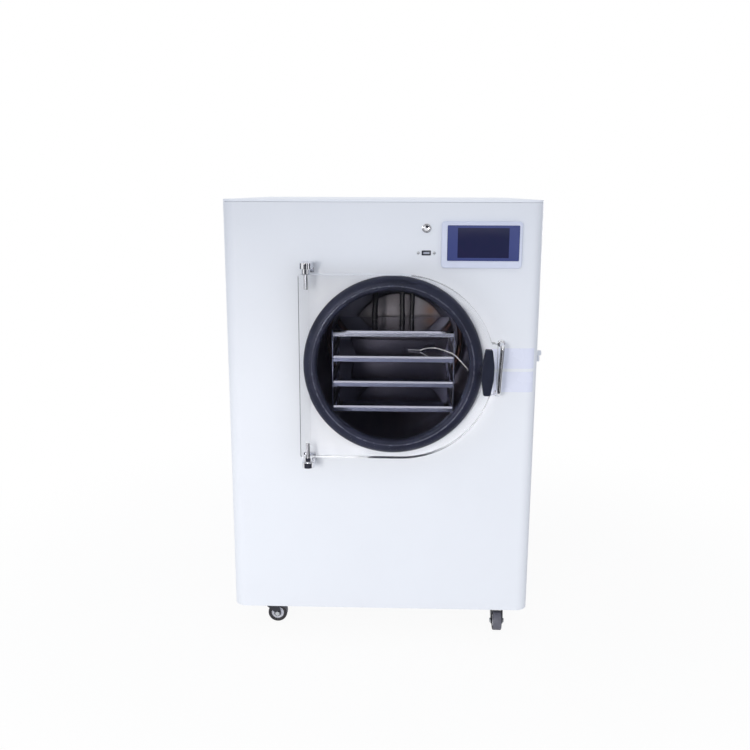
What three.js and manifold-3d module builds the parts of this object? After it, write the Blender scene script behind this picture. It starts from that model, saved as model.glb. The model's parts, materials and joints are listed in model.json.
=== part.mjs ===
// Laboratory freeze dryer with a round vacuum chamber behind a hinged clear door, on four casters.
// Millimetres, +Z up. The cabinet's front face lies in y = 0 and looks along -Y.
import * as THREE from "three";
import { mergeVertices } from "three/addons/utils/BufferGeometryUtils.js";
import Module from "manifold-3d";

const wasm = await Module();
wasm.setup();

// Cabinet
const cabinetWidth = 600;
const cabinetDepth = 620;
const cabinetHeight = 820;
const cornerRadius = 24;
const sheet = 1.5;
const gap = 0.3;
const frontReturn = 42;
const sideLip = 14;
const coverThickness = 4.5;
const coverRim = 14;
const coverSkin = 1.8;
const panFloor = 2.5;
const panLip = 26;

// Frame inside the cabinet
const angleSize = 26;
const angleWall = 2;
const railSet = 0.6;
const cradleWall = 3;
const cradleInset = 55;

// Vacuum chamber, a drum lying along Y behind the front panel
const chamberX = 22;
const chamberRise = 510;
const chamberRadius = 165;
const chamberWall = 2;
const chamberDepth = 330;
const backPlate = 5;
const flangeReach = 2.5;
const flangeThickness = 5;
const jacketWall = 24;
const drumFacets = 40;

// Rubber door seal, set inwards from the chamber's bore
const sealLip = 1.6;
const sealInset = 21;
const sealCrestInset = 10;
const sealCrestWidth = 6;
const sealProud = 22;

// Clear door: a square left half, a round right half and a lug for the latch
const doorThickness = 22;
const doorMargin = 10;
const doorHingeMargin = 10.5;
const doorArcShift = 16;
const lugMargin = 31;
const lugHalfHeight = 49;
const lugRadius = 7;
const doorBevelWidth = 18;
const doorBevelDepth = 10;
const doorEdge = 1;
const doorCorner = 4;

// Door hinges
const pinInset = 14;
const pinFromFront = 7.3;
const pinRadius = 3;
const pinBite = 27;
const pinHeadRadius = 5;
const pinHeadHeight = 1.8;
const runningGap = 0.5;
const collarRadius = 8;
const collarHeight = 9.5;
const hingeArmHeight = 11.5;
const hingeArmWidth = 24;
const hingeBase = 3;

// Quarter-turn latch and its keeper
const spindleMargin = 10;
const spindleRadius = 4;
const spindleNut = 5.2;
const spindleNutHeight = 2.4;
const hubRadius = 12;
const hubLength = 15;
const knobLength = 86;
const knobWidth = 22;
const knobTipWidth = 12.5;
const knobThickness = 16;
const knobLean = 1.5;
const armLength = 35;
const armWidth = 12;
const armTipWidth = 8;
const armThickness = 4.5;
const keeperMargin = 38.3;
const keeperRise = -5;
const keeperHeight = 104;
const keeperWire = 4;
const keeperBend = 9;
const keeperLean = 2.7;
const keeperFoot = 7.5;

// Shelf rack
const shelfCount = 4;
const shelfPitch = 50.4;
const shelfThickness = 11.5;
const topShelfRise = 58;
const rackWidth = 240.5;
const rackFront = 50;
const shelfDepth = 187;
const rackSheet = 1.6;
const ledgeWidth = 9;
const windowMargin = 11;

// Inside the chamber, behind the rack
const baffleX = 12;
const baffleRadius = 108;
const baffleSheet = 2;
const baffleRim = 8;
const baffleBehindRack = 25;
const standoffRadius = 4;
const standoffCircle = 80;
const coilMargin = 17;
const coilTube = 5;
const coilTurns = 2;
const coilPitch = 15;
const coilFromBack = 12;

// Shelf heater leads: across from the chamber axis, and their radius
const heaterLeads = [
  [-41, 6.3],
  [18, 5.6],
  [38, 5.2],
];
const heaterBehindFront = 200;
const heaterGland = 3;

// Product probe on the second shelf
const probeRadius = 1.1;
const probeTipRadius = 1.9;
const probeTipLength = 24;
const probeTipX = 30;
const probeTipBehindFront = 112;
const probeGlandRise = -22;
const probeGlandBehindFront = 62;

// Touch screen
const screenX = 184.7;
const screenMargin = 63.3;
const screenWidth = 149;
const screenHeight = 86;
const screenProud = 6.3;
const screenRadius = 6;
const screenBody = 139;
const screenBodyHeight = 76;
const screenBodyDepth = 28;
const glassWidth = 133;
const glassHeight = 65;
const glassShiftX = 2.8;
const glassShiftZ = 3.2;
const glassThickness = 1.1;

// Power button and USB port in one column
const controlX = 82.4;
const buttonAboveScreen = 30.5;
const buttonRing = 9;
const buttonRingProud = 2.6;
const buttonRingRim = 1.9;
const buttonBody = 8;
const buttonBodyDepth = 24;
const buttonCap = 6.2;
const buttonCapProud = 3.4;
const buttonCapDepth = 9;
const buttonTravel = 1.5;
const usbBelowScreen = 15.5;
const usbWidth = 16.4;
const usbHeight = 8.4;
const usbSlotWidth = 12.4;
const usbSlotHeight = 4.8;
const usbSlotDepth = 10;
const usbScrewPitch = 29.8;
const usbScrewHead = 2.7;

// Vent fitting on the right side
const ventBehindFront = 150;
const ventRise = 507;
const ventReach = 29.5;
const ventRadius = 5.5;
const ventNut = 8.5;
const barbRadius = 3.6;
const barbDrop = 18;

// Vacuum pump port, from the chamber's back plate through the rear panel
const portBore = 12.5;
const portWall = 1.6;
const portReach = 32;
const portFlange = 20;
const portFlangeThickness = 3;
const portCollar = 24;

// Mains sockets and fan on the rear panel
const socketX = 190;
const socketRise = 150;
const socketPitch = 62;
const socketWidth = 50;
const socketHeight = 28;
const socketProud = 2.5;
const socketDepth = 22;
const socketCavityWidth = 25;
const socketCavityHeight = 17;
const socketCavityDepth = 16;
const fanX = -150;
const fanRise = 190;
const fanSize = 119;
const fanDepth = 25;
const fanBore = 56;
const fanHub = 19;
const fanBladeCount = 7;
const fanBladeTip = 53;
const fanSlotHeight = 5;
const fanSlotPitch = 9.5;

// Louvres low on both sides
const louvreCount = 11;
const louvreLength = 210;
const louvrePitch = 17;
const louvreReach = 5;
const louvreSheet = 1.3;
const louvreFirst = 80;
const louvreBehindFront = 400;
const rearMargin = 4;

// Casters
const casterHeight = 62;
const casterInsetX = 57;
const casterInsetY = 60;
const casterPlate = 44;
const casterPlateThickness = 2.5;
const raceRadius = 15;
const raceHeight = 5.5;
const kingpinRadius = 4;
const forkCrown = 16;
const forkSheet = 2.2;
const wheelRadius = 20;
const wheelWidth = 18;
const wheelOffset = 24;
const wheelHub = 9;
const axleRadius = 3;
const axleNut = 5.2;
const axleNutHeight = 2.6;
const casterTurn = { frontLeft: 90, frontRight: 0, rearLeft: 150, rearRight: 205 };

// Sizes that follow from the ones above
const bottomZ = casterHeight;
const topZ = bottomZ + cabinetHeight;
const panelTopZ = topZ - coverThickness - gap;
const axisZ = bottomZ + chamberRise;
const sealInner = chamberRadius - sealInset;
const sealCrestOuter = chamberRadius - sealCrestInset;
const sealCrestInner = sealCrestOuter - sealCrestWidth;
const doorHalfHeight = chamberRadius + doorMargin;
const doorLeft = chamberRadius + doorHingeMargin;
const lugReach = chamberRadius + lugMargin;
const spindleX = chamberRadius + spindleMargin;
const keeperX = chamberRadius + keeperMargin;
const coilRadius = chamberRadius - coilMargin;
const screenRise = chamberRise + chamberRadius + screenMargin;
const buttonRise = screenRise + buttonAboveScreen;
const usbRise = screenRise - usbBelowScreen;
const chamberClear = chamberRadius * Math.cos(Math.PI / drumFacets) - gap;
const drumOuter = chamberRadius + chamberWall;
const drumHole = drumOuter + 2 * gap;
const flangeRadius = drumOuter + flangeReach;
const flangeFront = -gap - flangeThickness;
const sealOuter = flangeRadius + gap + sealLip;
const doorBack = -sealProud - gap;
const doorFront = doorBack - doorThickness;
const pinX = chamberX - doorLeft + pinInset;
const pinY = doorFront + pinFromFront;
const knobBack = doorFront - gap;
const knobFront = knobBack - hubLength - knobThickness;
const armBack = doorBack + runningGap + armThickness;
const keeperY = doorBack - keeperWire - runningGap;
const rackBack = rackFront + shelfDepth;
const baffleY = rackBack + baffleBehindRack;
const drumBack = chamberDepth + backPlate;
const jacketRadius = drumOuter + gap + jacketWall;
const portTube = portBore + portWall;
const rearInner = cabinetDepth + gap;
const rearOuter = rearInner + sheet;
const socketBodyWidth = socketWidth - 10;
const socketBodyHeight = socketHeight - 6;
const socketHeights = [0, 1].map((i) => bottomZ + socketRise + i * socketPitch);
const fanZ = bottomZ + fanRise;

// Materials
function coat(color, roughness, metalness) {
  return new THREE.MeshStandardMaterial({ color, roughness, metalness });
}
const whitePaint = coat(0xe6e9f2, 0.42, 0.05);
const stainless = coat(0xb9bbc4, 0.24, 0.95);
const chrome = coat(0xd8dae2, 0.1, 1);
const zinc = coat(0x9ea1a8, 0.4, 0.85);
const blackRubber = coat(0x26283a, 0.45, 0);
const blackPlastic = coat(0x1e2130, 0.38, 0);
const greyPlastic = coat(0xc9cce0, 0.35, 0);
const screenGlass = coat(0x3c4468, 0.12, 0.1);
const foam = coat(0x2a2a2c, 0.9, 0);
const copper = coat(0x8a5c42, 0.35, 0.9);
const wheelGrey = coat(0x3a3c44, 0.6, 0);
const clearPlastic = new THREE.MeshStandardMaterial({
  color: 0xf2f5fb,
  roughness: 0.05,
  transparent: true,
  opacity: 0.25,
});

// A closed geometry as a manifold solid, and a solid back as a geometry
function solidOf(geometry) {
  const bare = geometry.clone();
  bare.deleteAttribute("normal");
  bare.deleteAttribute("uv");
  const merged = mergeVertices(bare, 1e-4);
  const source = merged.index.array;
  const triangles = [];
  for (let i = 0; i < source.length; i += 3) {
    const [a, b, c] = [source[i], source[i + 1], source[i + 2]];
    if (a !== b && b !== c && c !== a) triangles.push(a, b, c);
  }
  return new wasm.Manifold(
    new wasm.Mesh({
      numProp: 3,
      vertProperties: merged.attributes.position.array,
      triVerts: new Uint32Array(triangles),
    }),
  );
}

function geometryOf(solid) {
  const mesh = solid.getMesh();
  return new THREE.BufferGeometry()
    .setAttribute("position", new THREE.BufferAttribute(mesh.vertProperties, 3))
    .setIndex(new THREE.BufferAttribute(mesh.triVerts, 1));
}

function joined(...geometries) {
  return geometryOf(geometries.map(solidOf).reduce((a, b) => a.add(b)));
}

function cut(body, ...tools) {
  return geometryOf(tools.map(solidOf).reduce((a, b) => a.subtract(b), solidOf(body)));
}

// Shapes
function outline(points) {
  return new THREE.Shape(points.map(([a, b]) => new THREE.Vector2(a, b)));
}

function roundedRectangle(width, height, radius) {
  const [w, h, r] = [width / 2, height / 2, radius];
  const shape = new THREE.Shape();
  shape.moveTo(-w + r, -h);
  shape.lineTo(w - r, -h);
  shape.absarc(w - r, -h + r, r, -Math.PI / 2, 0);
  shape.lineTo(w, h - r);
  shape.absarc(w - r, h - r, r, 0, Math.PI / 2);
  shape.lineTo(-w + r, h);
  shape.absarc(-w + r, h - r, r, Math.PI / 2, Math.PI);
  shape.lineTo(-w, -h + r);
  shape.absarc(-w + r, -h + r, r, Math.PI, 1.5 * Math.PI);
  return shape;
}

// Prisms along each axis; an edge cuts both end faces' corners
function prism(shape, depth, curveSegments, edge) {
  if (!edge) {
    return new THREE.ExtrudeGeometry(shape, { depth, bevelEnabled: false, curveSegments });
  }
  const bevelled = new THREE.ExtrudeGeometry(shape, {
    depth: depth - 2 * edge,
    bevelThickness: edge,
    bevelSize: edge,
    bevelOffset: -edge,
    bevelSegments: 1,
    curveSegments,
  });
  return bevelled.translate(0, 0, edge);
}

function prismZ(shape, z0, z1, curveSegments = 8, edge = 0) {
  return prism(shape, z1 - z0, curveSegments, edge).translate(0, 0, z0);
}

// The shape's own axes are X and Z
function prismY(shape, y0, y1, curveSegments = 8, edge = 0) {
  return prism(shape, y1 - y0, curveSegments, edge)
    .rotateX(Math.PI / 2)
    .translate(0, y1, 0);
}

// The shape's own axes are Y and Z
function prismX(shape, x0, x1, curveSegments = 8, edge = 0) {
  const turn = new THREE.Matrix4().makeBasis(
    new THREE.Vector3(0, 1, 0),
    new THREE.Vector3(0, 0, 1),
    new THREE.Vector3(1, 0, 0),
  );
  return prism(shape, x1 - x0, curveSegments, edge)
    .applyMatrix4(turn)
    .translate(x0, 0, 0);
}

function box(x0, x1, y0, y1, z0, z1) {
  return new THREE.BoxGeometry(x1 - x0, y1 - y0, z1 - z0).translate(
    (x0 + x1) / 2,
    (y0 + y1) / 2,
    (z0 + z1) / 2,
  );
}

// A profile of [radius, height] pairs turned about Y, then about Z or X
function turnedY(profile, segments) {
  const points = profile.map(([r, h]) => new THREE.Vector2(r, h));
  if (profile[0][0] > 0) points.push(points[0].clone());
  const area = points.reduce((sum, p, i) => {
    const q = points[(i + 1) % points.length];
    return sum + p.x * q.y - q.x * p.y;
  }, 0);
  return new THREE.LatheGeometry(area < 0 ? points.reverse() : points, segments);
}

function turnedZ(profile, segments) {
  return turnedY(profile, segments).rotateX(Math.PI / 2);
}

function turnedX(profile, segments) {
  return turnedY(profile, segments).rotateZ(-Math.PI / 2);
}

function rodY(radius, y0, y1, segments = 20) {
  return turnedY([[0, y0], [radius, y0], [radius, y1], [0, y1]], segments);
}

function rodZ(radius, z0, z1, segments = 20) {
  return turnedZ([[0, z0], [radius, z0], [radius, z1], [0, z1]], segments);
}

function rodX(radius, x0, x1, segments = 20) {
  return turnedX([[0, x0], [radius, x0], [radius, x1], [0, x1]], segments);
}

// A round bar swept along straight runs joined by bends of one radius
function bentPath(points, bend) {
  const path = new THREE.CurvePath();
  let from = points[0];
  for (let i = 1; i < points.length - 1; i += 1) {
    const before = points[i].clone().sub(points[i - 1]).setLength(bend);
    const after = points[i + 1].clone().sub(points[i]).setLength(bend);
    const start = points[i].clone().sub(before);
    const end = points[i].clone().add(after);
    path.add(new THREE.LineCurve3(from, start));
    path.add(new THREE.QuadraticBezierCurve3(start, points[i], end));
    from = end;
  }
  path.add(new THREE.LineCurve3(from, points[points.length - 1]));
  return path;
}

function swept(path, radius, steps, sides) {
  const section = Array.from({ length: sides }, (_, i) => {
    const angle = (2 * Math.PI * i) / sides;
    return [radius * Math.cos(angle), radius * Math.sin(angle)];
  });
  return new THREE.ExtrudeGeometry(outline(section), {
    steps,
    extrudePath: path,
    bevelEnabled: false,
  });
}

const machine = new THREE.Group();

function add(name, geometry, material, parent = machine) {
  const mesh = new THREE.Mesh(geometry, material);
  mesh.name = name;
  parent.add(mesh);
  return mesh;
}

// Plan of the cabinet with rounded front corners, drawn in from the outside by an inset
function cabinetPlan(inset, y1, rearRadius = 0) {
  const half = cabinetWidth / 2 - inset;
  const front = inset;
  const radius = cornerRadius - inset;
  const shape = new THREE.Shape();
  shape.moveTo(-half + radius, front);
  shape.lineTo(half - radius, front);
  shape.absarc(half - radius, front + radius, radius, -Math.PI / 2, 0);
  if (rearRadius) {
    shape.lineTo(half, y1 - rearRadius);
    shape.absarc(half - rearRadius, y1 - rearRadius, rearRadius, 0, Math.PI / 2);
    shape.lineTo(-half + rearRadius, y1);
    shape.absarc(-half + rearRadius, y1 - rearRadius, rearRadius, Math.PI / 2, Math.PI);
  } else {
    shape.lineTo(half, y1);
    shape.lineTo(-half, y1);
  }
  shape.lineTo(-half, front + radius);
  shape.absarc(-half + radius, front + radius, radius, Math.PI, 1.5 * Math.PI);
  return shape;
}

function addBasePan() {
  const inset = sheet + gap;
  const back = cabinetDepth - inset;
  const tray = cut(
    prismZ(cabinetPlan(inset, back), bottomZ, bottomZ + panLip, 7),
    prismZ(cabinetPlan(inset + sheet, back - sheet), bottomZ + panFloor, topZ, 7),
  );
  add("base_pan", tray, whitePaint);
}

function addTopCover() {
  const rim = sheet + coverRim;
  const lid = cut(
    prismZ(cabinetPlan(0, cabinetDepth, 5), topZ - coverThickness, topZ, 7),
    prismZ(cabinetPlan(rim, cabinetDepth - rim), bottomZ, topZ - coverSkin, 7),
  );
  add("top_cover", lid, whitePaint);
}

// Folded front panel: face, rounded corners and a return down each side
function addFrontPanel() {
  const shell = cut(
    prismZ(cabinetPlan(0, frontReturn), bottomZ, panelTopZ, 7),
    prismZ(cabinetPlan(sheet, frontReturn + 10), bottomZ - 10, topZ, 7),
  );
  const depth = [-10, cornerRadius];
  const screenZ = bottomZ + screenRise;
  const screenHole = prismY(
    roundedRectangle(screenBody + 2 * gap, screenBodyHeight + 2 * gap, 3),
    ...depth,
    3,
  ).translate(screenX, 0, screenZ);
  const buttonHole = rodY(buttonBody + gap, ...depth).translate(controlX, 0, bottomZ + buttonRise);
  const usbHole = box(
    controlX - usbWidth / 2 - gap,
    controlX + usbWidth / 2 + gap,
    ...depth,
    bottomZ + usbRise - usbHeight / 2 - gap,
    bottomZ + usbRise + usbHeight / 2 + gap,
  );
  const screwHoles = [-1, 1].map((side) =>
    rodY(1.6 + gap, ...depth, 10).translate(
      controlX + (side * usbScrewPitch) / 2,
      0,
      bottomZ + usbRise,
    ),
  );
  const chamberHole = rodY(drumHole, ...depth, drumFacets).translate(chamberX, 0, axisZ);
  const panel = cut(shell, chamberHole, screenHole, buttonHole, usbHole, ...screwHoles);
  add("front_panel", panel, whitePaint);
}

// One louvre: a pressed hood open downwards, drawn for the right side about its slot's middle
function louvreHood(outer) {
  const inset = outer ? 0 : louvreSheet;
  const reach = louvreReach - inset;
  const rise = 1.8 * louvreReach - inset;
  const profile = [[outer ? -0.4 : -3 * sheet, rise]];
  for (let i = 1; i < 3; i += 1) {
    const angle = (i * Math.PI) / 5;
    profile.push([reach * Math.sin(angle), rise * Math.cos(angle)]);
  }
  profile.push([reach, outer ? 0 : -louvreSheet]);
  profile.push([outer ? -0.4 : -3 * sheet, outer ? 0 : -louvreSheet]);
  const half = louvreLength / 2 - inset;
  return prismY(outline(profile.reverse()), -half, half, 1);
}

function addSidePanel(side) {
  const [y0, y1] = [frontReturn + gap, cabinetDepth];
  const face = cabinetWidth / 2;
  const inner = face - sheet;
  const folded = outline([
    [inner - sideLip, y0],
    [face, y0],
    [face, y1],
    [inner - sideLip, y1],
    [inner - sideLip, y1 - sheet],
    [inner, y1 - sheet],
    [inner, y0 + sheet],
    [inner - sideLip, y0 + sheet],
  ]);
  let solid = solidOf(prismZ(folded, bottomZ + panLip + gap, panelTopZ));
  const skirt = box(inner, face, y0, y1, bottomZ, bottomZ + panLip + 2 * gap);
  solid = solid.add(solidOf(skirt));
  for (let row = 0; row < louvreCount; row += 1) {
    const at = [face, louvreBehindFront, bottomZ + louvreFirst + row * louvrePitch];
    solid = solid.add(solidOf(louvreHood(true).translate(...at)));
    solid = solid.subtract(solidOf(louvreHood(false).translate(...at)));
  }
  if (side > 0) {
    const hole = rodX(ventRadius + gap, inner - 5, face + 5, 12);
    solid = solid.subtract(solidOf(hole.translate(0, ventBehindFront, bottomZ + ventRise)));
  }
  const panel = geometryOf(side > 0 ? solid : solid.mirror([1, 0, 0]));
  add(side > 0 ? "side_panel_right" : "side_panel_left", panel, whitePaint);
}

// Flat rear panel on the side panels' lips, with a slotted fan guard and holes for what passes through
function addRearPanel() {
  const width = cabinetWidth - 2 * rearMargin;
  const [z0, z1] = [bottomZ + rearMargin, panelTopZ - rearMargin];
  const plate = prismY(roundedRectangle(width, z1 - z0, 5), rearInner, rearOuter, 3);
  const through = [rearInner - 10, rearOuter + 10];
  const rows = Math.floor((2 * fanBore) / fanSlotPitch);
  const slots = Array.from({ length: rows }, (_, i) => {
    const dz = (i - (rows - 1) / 2) * fanSlotPitch;
    const reach = Math.sqrt(fanBore ** 2 - (Math.abs(dz) + fanSlotHeight / 2) ** 2);
    const low = fanZ + dz - fanSlotHeight / 2;
    return box(fanX - reach, fanX + reach, ...through, low, low + fanSlotHeight);
  });
  const windows = socketHeights.map((z) =>
    box(
      socketX - socketBodyWidth / 2 - gap,
      socketX + socketBodyWidth / 2 + gap,
      ...through,
      z - socketBodyHeight / 2 - gap,
      z + socketBodyHeight / 2 + gap,
    ),
  );
  const portHole = rodY(portTube + 2 * gap, ...through, 16).translate(chamberX, 0, axisZ);
  const panel = cut(
    plate.translate(0, 0, (z0 + z1) / 2),
    ...slots,
    ...windows,
    portHole,
  );
  add("rear_panel", panel, whitePaint);
}

// Angle-iron frame: four posts, rings top and bottom, and two cradles that carry the chamber
function addFrame() {
  const clear = 2 * (sheet + gap);
  const inner = cabinetWidth / 2 - clear;
  const [y0, y1] = [frontReturn + sheet + 2 * gap, cabinetDepth - clear];
  const floorZ = bottomZ + panFloor + gap;
  const ceilingZ = topZ - coverThickness - gap;
  const wall = angleWall;
  const angle = (x, y, sx, sy) =>
    prismZ(
      outline(
        [
          [0, 0],
          [angleSize, 0],
          [angleSize, wall],
          [wall, wall],
          [wall, angleSize],
          [0, angleSize],
        ],
      ),
      floorZ,
      ceilingZ,
    )
      .applyMatrix4(new THREE.Matrix4().makeScale(sx, sy, 1))
      .translate(x, y, 0);
  const posts = [
    [-inner, y0, 1, 1],
    [inner, y0, -1, 1],
    [-inner, y1, 1, -1],
    [inner, y1, -1, -1],
  ].map(([x, y, sx, sy]) => {
    const post = angle(x, y, sx, sy);
    return sx * sy < 0 ? flipped(post) : post;
  });
  const loop = (inset) => {
    const [x, near, far] = [inner - inset, y0 + inset, y1 - inset];
    return [
      [-x, near],
      [x, near],
      [x, far],
      [-x, far],
    ];
  };
  const ring = outline(loop(railSet));
  ring.holes.push(outline(loop(railSet + wall)));
  const rails = [floorZ + railSet, ceilingZ - angleSize - railSet].map((z) =>
    prismZ(ring, z, z + angleSize),
  );
  const cradles = [cradleInset, chamberDepth - cradleInset].map((y) =>
    cut(
      box(1 - inner, inner - 1, y, y + cradleWall, floorZ + 1, axisZ),
      rodY(jacketRadius + gap, y - 5, y + 10, drumFacets).translate(chamberX, 0, axisZ),
      prismY(roundedRectangle(0.6 * cabinetWidth, 0.3 * chamberRise, 20), y - 5, y + 10, 3).translate(
        0,
        0,
        bottomZ + 0.28 * chamberRise,
      ),
    ),
  );
  add("frame", joined(...posts, ...rails, ...cradles), zinc);
}

// A mirrored geometry with its faces turned out again
function flipped(geometry) {
  const flat = geometry.index ? geometry.toNonIndexed() : geometry;
  const p = flat.attributes.position;
  for (let i = 0; i < p.count; i += 3) {
    const [x, y, z] = [p.getX(i + 1), p.getY(i + 1), p.getZ(i + 1)];
    p.setXYZ(i + 1, p.getX(i + 2), p.getY(i + 2), p.getZ(i + 2));
    p.setXYZ(i + 2, x, y, z);
  }
  return flat;
}

// Chamber drum with its front flange, and the foam jacket round it
const chamber = new THREE.Group();
chamber.position.set(chamberX, 0, axisZ);
machine.add(chamber);

function addChamber() {
  const drum = turnedY(
    [
      [0, drumBack],
      [drumOuter, drumBack],
      [drumOuter, -gap],
      [flangeRadius, -gap],
      [flangeRadius, flangeFront],
      [chamberRadius, flangeFront],
      [chamberRadius, chamberDepth],
      [0, chamberDepth],
    ],
    drumFacets,
  );
  const outlet = rodY(portBore, chamberDepth - 5, drumBack + 5, 16);
  add("chamber", cut(drum, outlet), stainless, chamber);
  const jacket = turnedY(
    [
      [drumOuter + gap, sheet + 2 * gap],
      [jacketRadius, sheet + 2 * gap],
      [jacketRadius, drumBack],
      [drumOuter + gap, drumBack],
    ],
    drumFacets,
  );
  add("insulation_jacket", jacket, foam, chamber);
}

// The seal wraps the flange and bulges forward to a round crest
function addSeal() {
  const seat = flangeFront - gap;
  const shoulder = -6;
  const back = -2 * gap;
  const profile = [[flangeRadius + gap, back], [sealOuter, back]];
  for (let i = 0; i <= 3; i += 1) {
    const angle = (i * Math.PI) / 6;
    profile.push([
      sealCrestOuter + (sealOuter - sealCrestOuter) * Math.cos(angle),
      shoulder - (sealProud + shoulder) * Math.sin(angle),
    ]);
  }
  for (let i = 0; i <= 2; i += 1) {
    const angle = (i * Math.PI) / 4;
    profile.push([
      sealCrestInner - (sealCrestInner - sealInner) * Math.sin(angle),
      -sealProud + 7 * (1 - Math.cos(angle)),
    ]);
  }
  profile.push([sealInner, seat], [flangeRadius + gap, seat]);
  add("chamber_seal", turnedY(profile, drumFacets), blackRubber, chamber);
}

// Refrigerant coil round the back of the chamber; both ends run into the back plate
function addCoil() {
  const points = [];
  const perTurn = 14;
  const steps = Math.round(coilTurns * perTurn);
  const start = chamberDepth - coilFromBack - coilTube - coilTurns * coilPitch;
  for (let i = 0; i <= steps; i += 1) {
    const angle = (2 * Math.PI * i) / perTurn - 0.5 * Math.PI;
    points.push(
      new THREE.Vector3(
        coilRadius * Math.cos(angle),
        start + (coilPitch * i) / perTurn,
        coilRadius * Math.sin(angle),
      ),
    );
  }
  const first = points[0].clone();
  const last = points[points.length - 1].clone();
  const inward = first.clone().setY(0).setLength(coilRadius - 3 * coilTube);
  points.unshift(new THREE.Vector3(inward.x - 16, start + 1, inward.z));
  points.unshift(new THREE.Vector3(inward.x - 22, start + 14, inward.z + 2));
  points.unshift(new THREE.Vector3(inward.x - 22, chamberDepth - gap, inward.z + 2));
  const tail = last.clone();
  const along = last.clone().sub(points[points.length - 2]).setLength(14);
  points.push(tail.clone().add(along).setY(last.y + 4));
  const end = points[points.length - 1].clone();
  points.push(end.clone().setY(chamberDepth - gap));
  const path = new THREE.CatmullRomCurve3(points, false, "centripetal");
  add("evaporator_coil", swept(path, coilTube, steps + 14, 6), copper, chamber);
}

// Dished stainless plate in front of the coil, on three standoffs
function addBaffle() {
  const plate = turnedY(
    [
      [0, baffleY],
      [baffleRadius - 2, baffleY],
      [baffleRadius, baffleY + 2],
      [baffleRadius, baffleY + baffleRim],
      [baffleRadius - baffleSheet, baffleY + baffleRim],
      [baffleRadius - baffleSheet, baffleY + baffleSheet],
      [0, baffleY + baffleSheet],
    ],
    32,
  );
  const legs = [90, 210, 330].map((degrees) => {
    const angle = THREE.MathUtils.degToRad(degrees);
    return rodY(standoffRadius, baffleY + baffleSheet / 2, chamberDepth - gap, 8).translate(
      standoffCircle * Math.cos(angle),
      0,
      standoffCircle * Math.sin(angle),
    );
  });
  add("rear_baffle", joined(plate, ...legs).translate(baffleX, 0, 0), stainless, chamber);
}

// Shelf rack: two side sheets with windows and ledges, and the shelves between them
const shelfHalf = rackWidth / 2 - rackSheet - gap;

function shelfTop(index) {
  return topShelfRise - index * shelfPitch;
}

function addRack() {
  const outer = rackWidth / 2;
  const inner = outer - rackSheet;
  const wallZ = -Math.sqrt(chamberClear ** 2 - outer ** 2);
  [-1, 1].forEach((side) => {
    const sheetSolid = box(inner, outer, rackFront, rackBack, wallZ, topShelfRise);
    const windows = Array.from({ length: shelfCount - 1 }, (_, i) => {
      const top = shelfTop(i) - shelfThickness - windowMargin;
      const bottom = shelfTop(i + 1) + windowMargin;
      const hole = roundedRectangle(
        (shelfDepth - 4 * windowMargin) / 2,
        top - bottom,
        0.3 * (top - bottom),
      );
      return [0.25, 0.75].map((share) =>
        prismX(hole, inner - 5, outer + 5, 1).translate(
          0,
          rackFront + windowMargin + share * (shelfDepth - 2 * windowMargin),
          (top + bottom) / 2,
        ),
      );
    }).flat();
    const ledges = Array.from({ length: shelfCount }, (_, i) => {
      const z = shelfTop(i) - shelfThickness - gap;
      return box(
        outer - ledgeWidth,
        outer,
        rackFront + 6,
        rackBack - 6,
        Math.max(z - rackSheet, wallZ),
        z,
      );
    });
    const solid = solidOf(joined(cut(sheetSolid, ...windows), ...ledges));
    const placed = geometryOf(side > 0 ? solid : solid.mirror([1, 0, 0]));
    add(side > 0 ? "rack_side_right" : "rack_side_left", placed, stainless, chamber);
  });
  for (let i = 0; i < shelfCount; i += 1) {
    const z1 = shelfTop(i);
    const shape = roundedRectangle(shelfDepth, shelfThickness, 1.2);
    const plate = prismX(shape, -shelfHalf, shelfHalf, 1).translate(
      0,
      (rackFront + rackBack) / 2,
      z1 - shelfThickness / 2,
    );
    add(`shelf_${i + 1}`, plate, stainless, chamber);
  }
}

// Heater leads drop from glands under the chamber's roof to the top shelf
function addHeaterLeads() {
  heaterLeads.forEach(([x, radius], i) => {
    const reach = radius + heaterGland;
    const roof = Math.sqrt(chamberClear ** 2 - (Math.abs(x) + reach) ** 2);
    const glandZ = roof - 2 * heaterGland;
    const gland = turnedZ(
      [
        [0, glandZ],
        [radius + 1, glandZ],
        [reach, glandZ + 2],
        [reach, roof],
        [0, roof],
      ].reverse(),
      10,
    );
    const lead = rodZ(radius, topShelfRise + gap, glandZ + 1, 10);
    const piece = joined(gland, lead).translate(x, heaterBehindFront, 0);
    add(`heater_lead_${i + 1}`, piece, blackRubber, chamber);
  });
}

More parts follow.
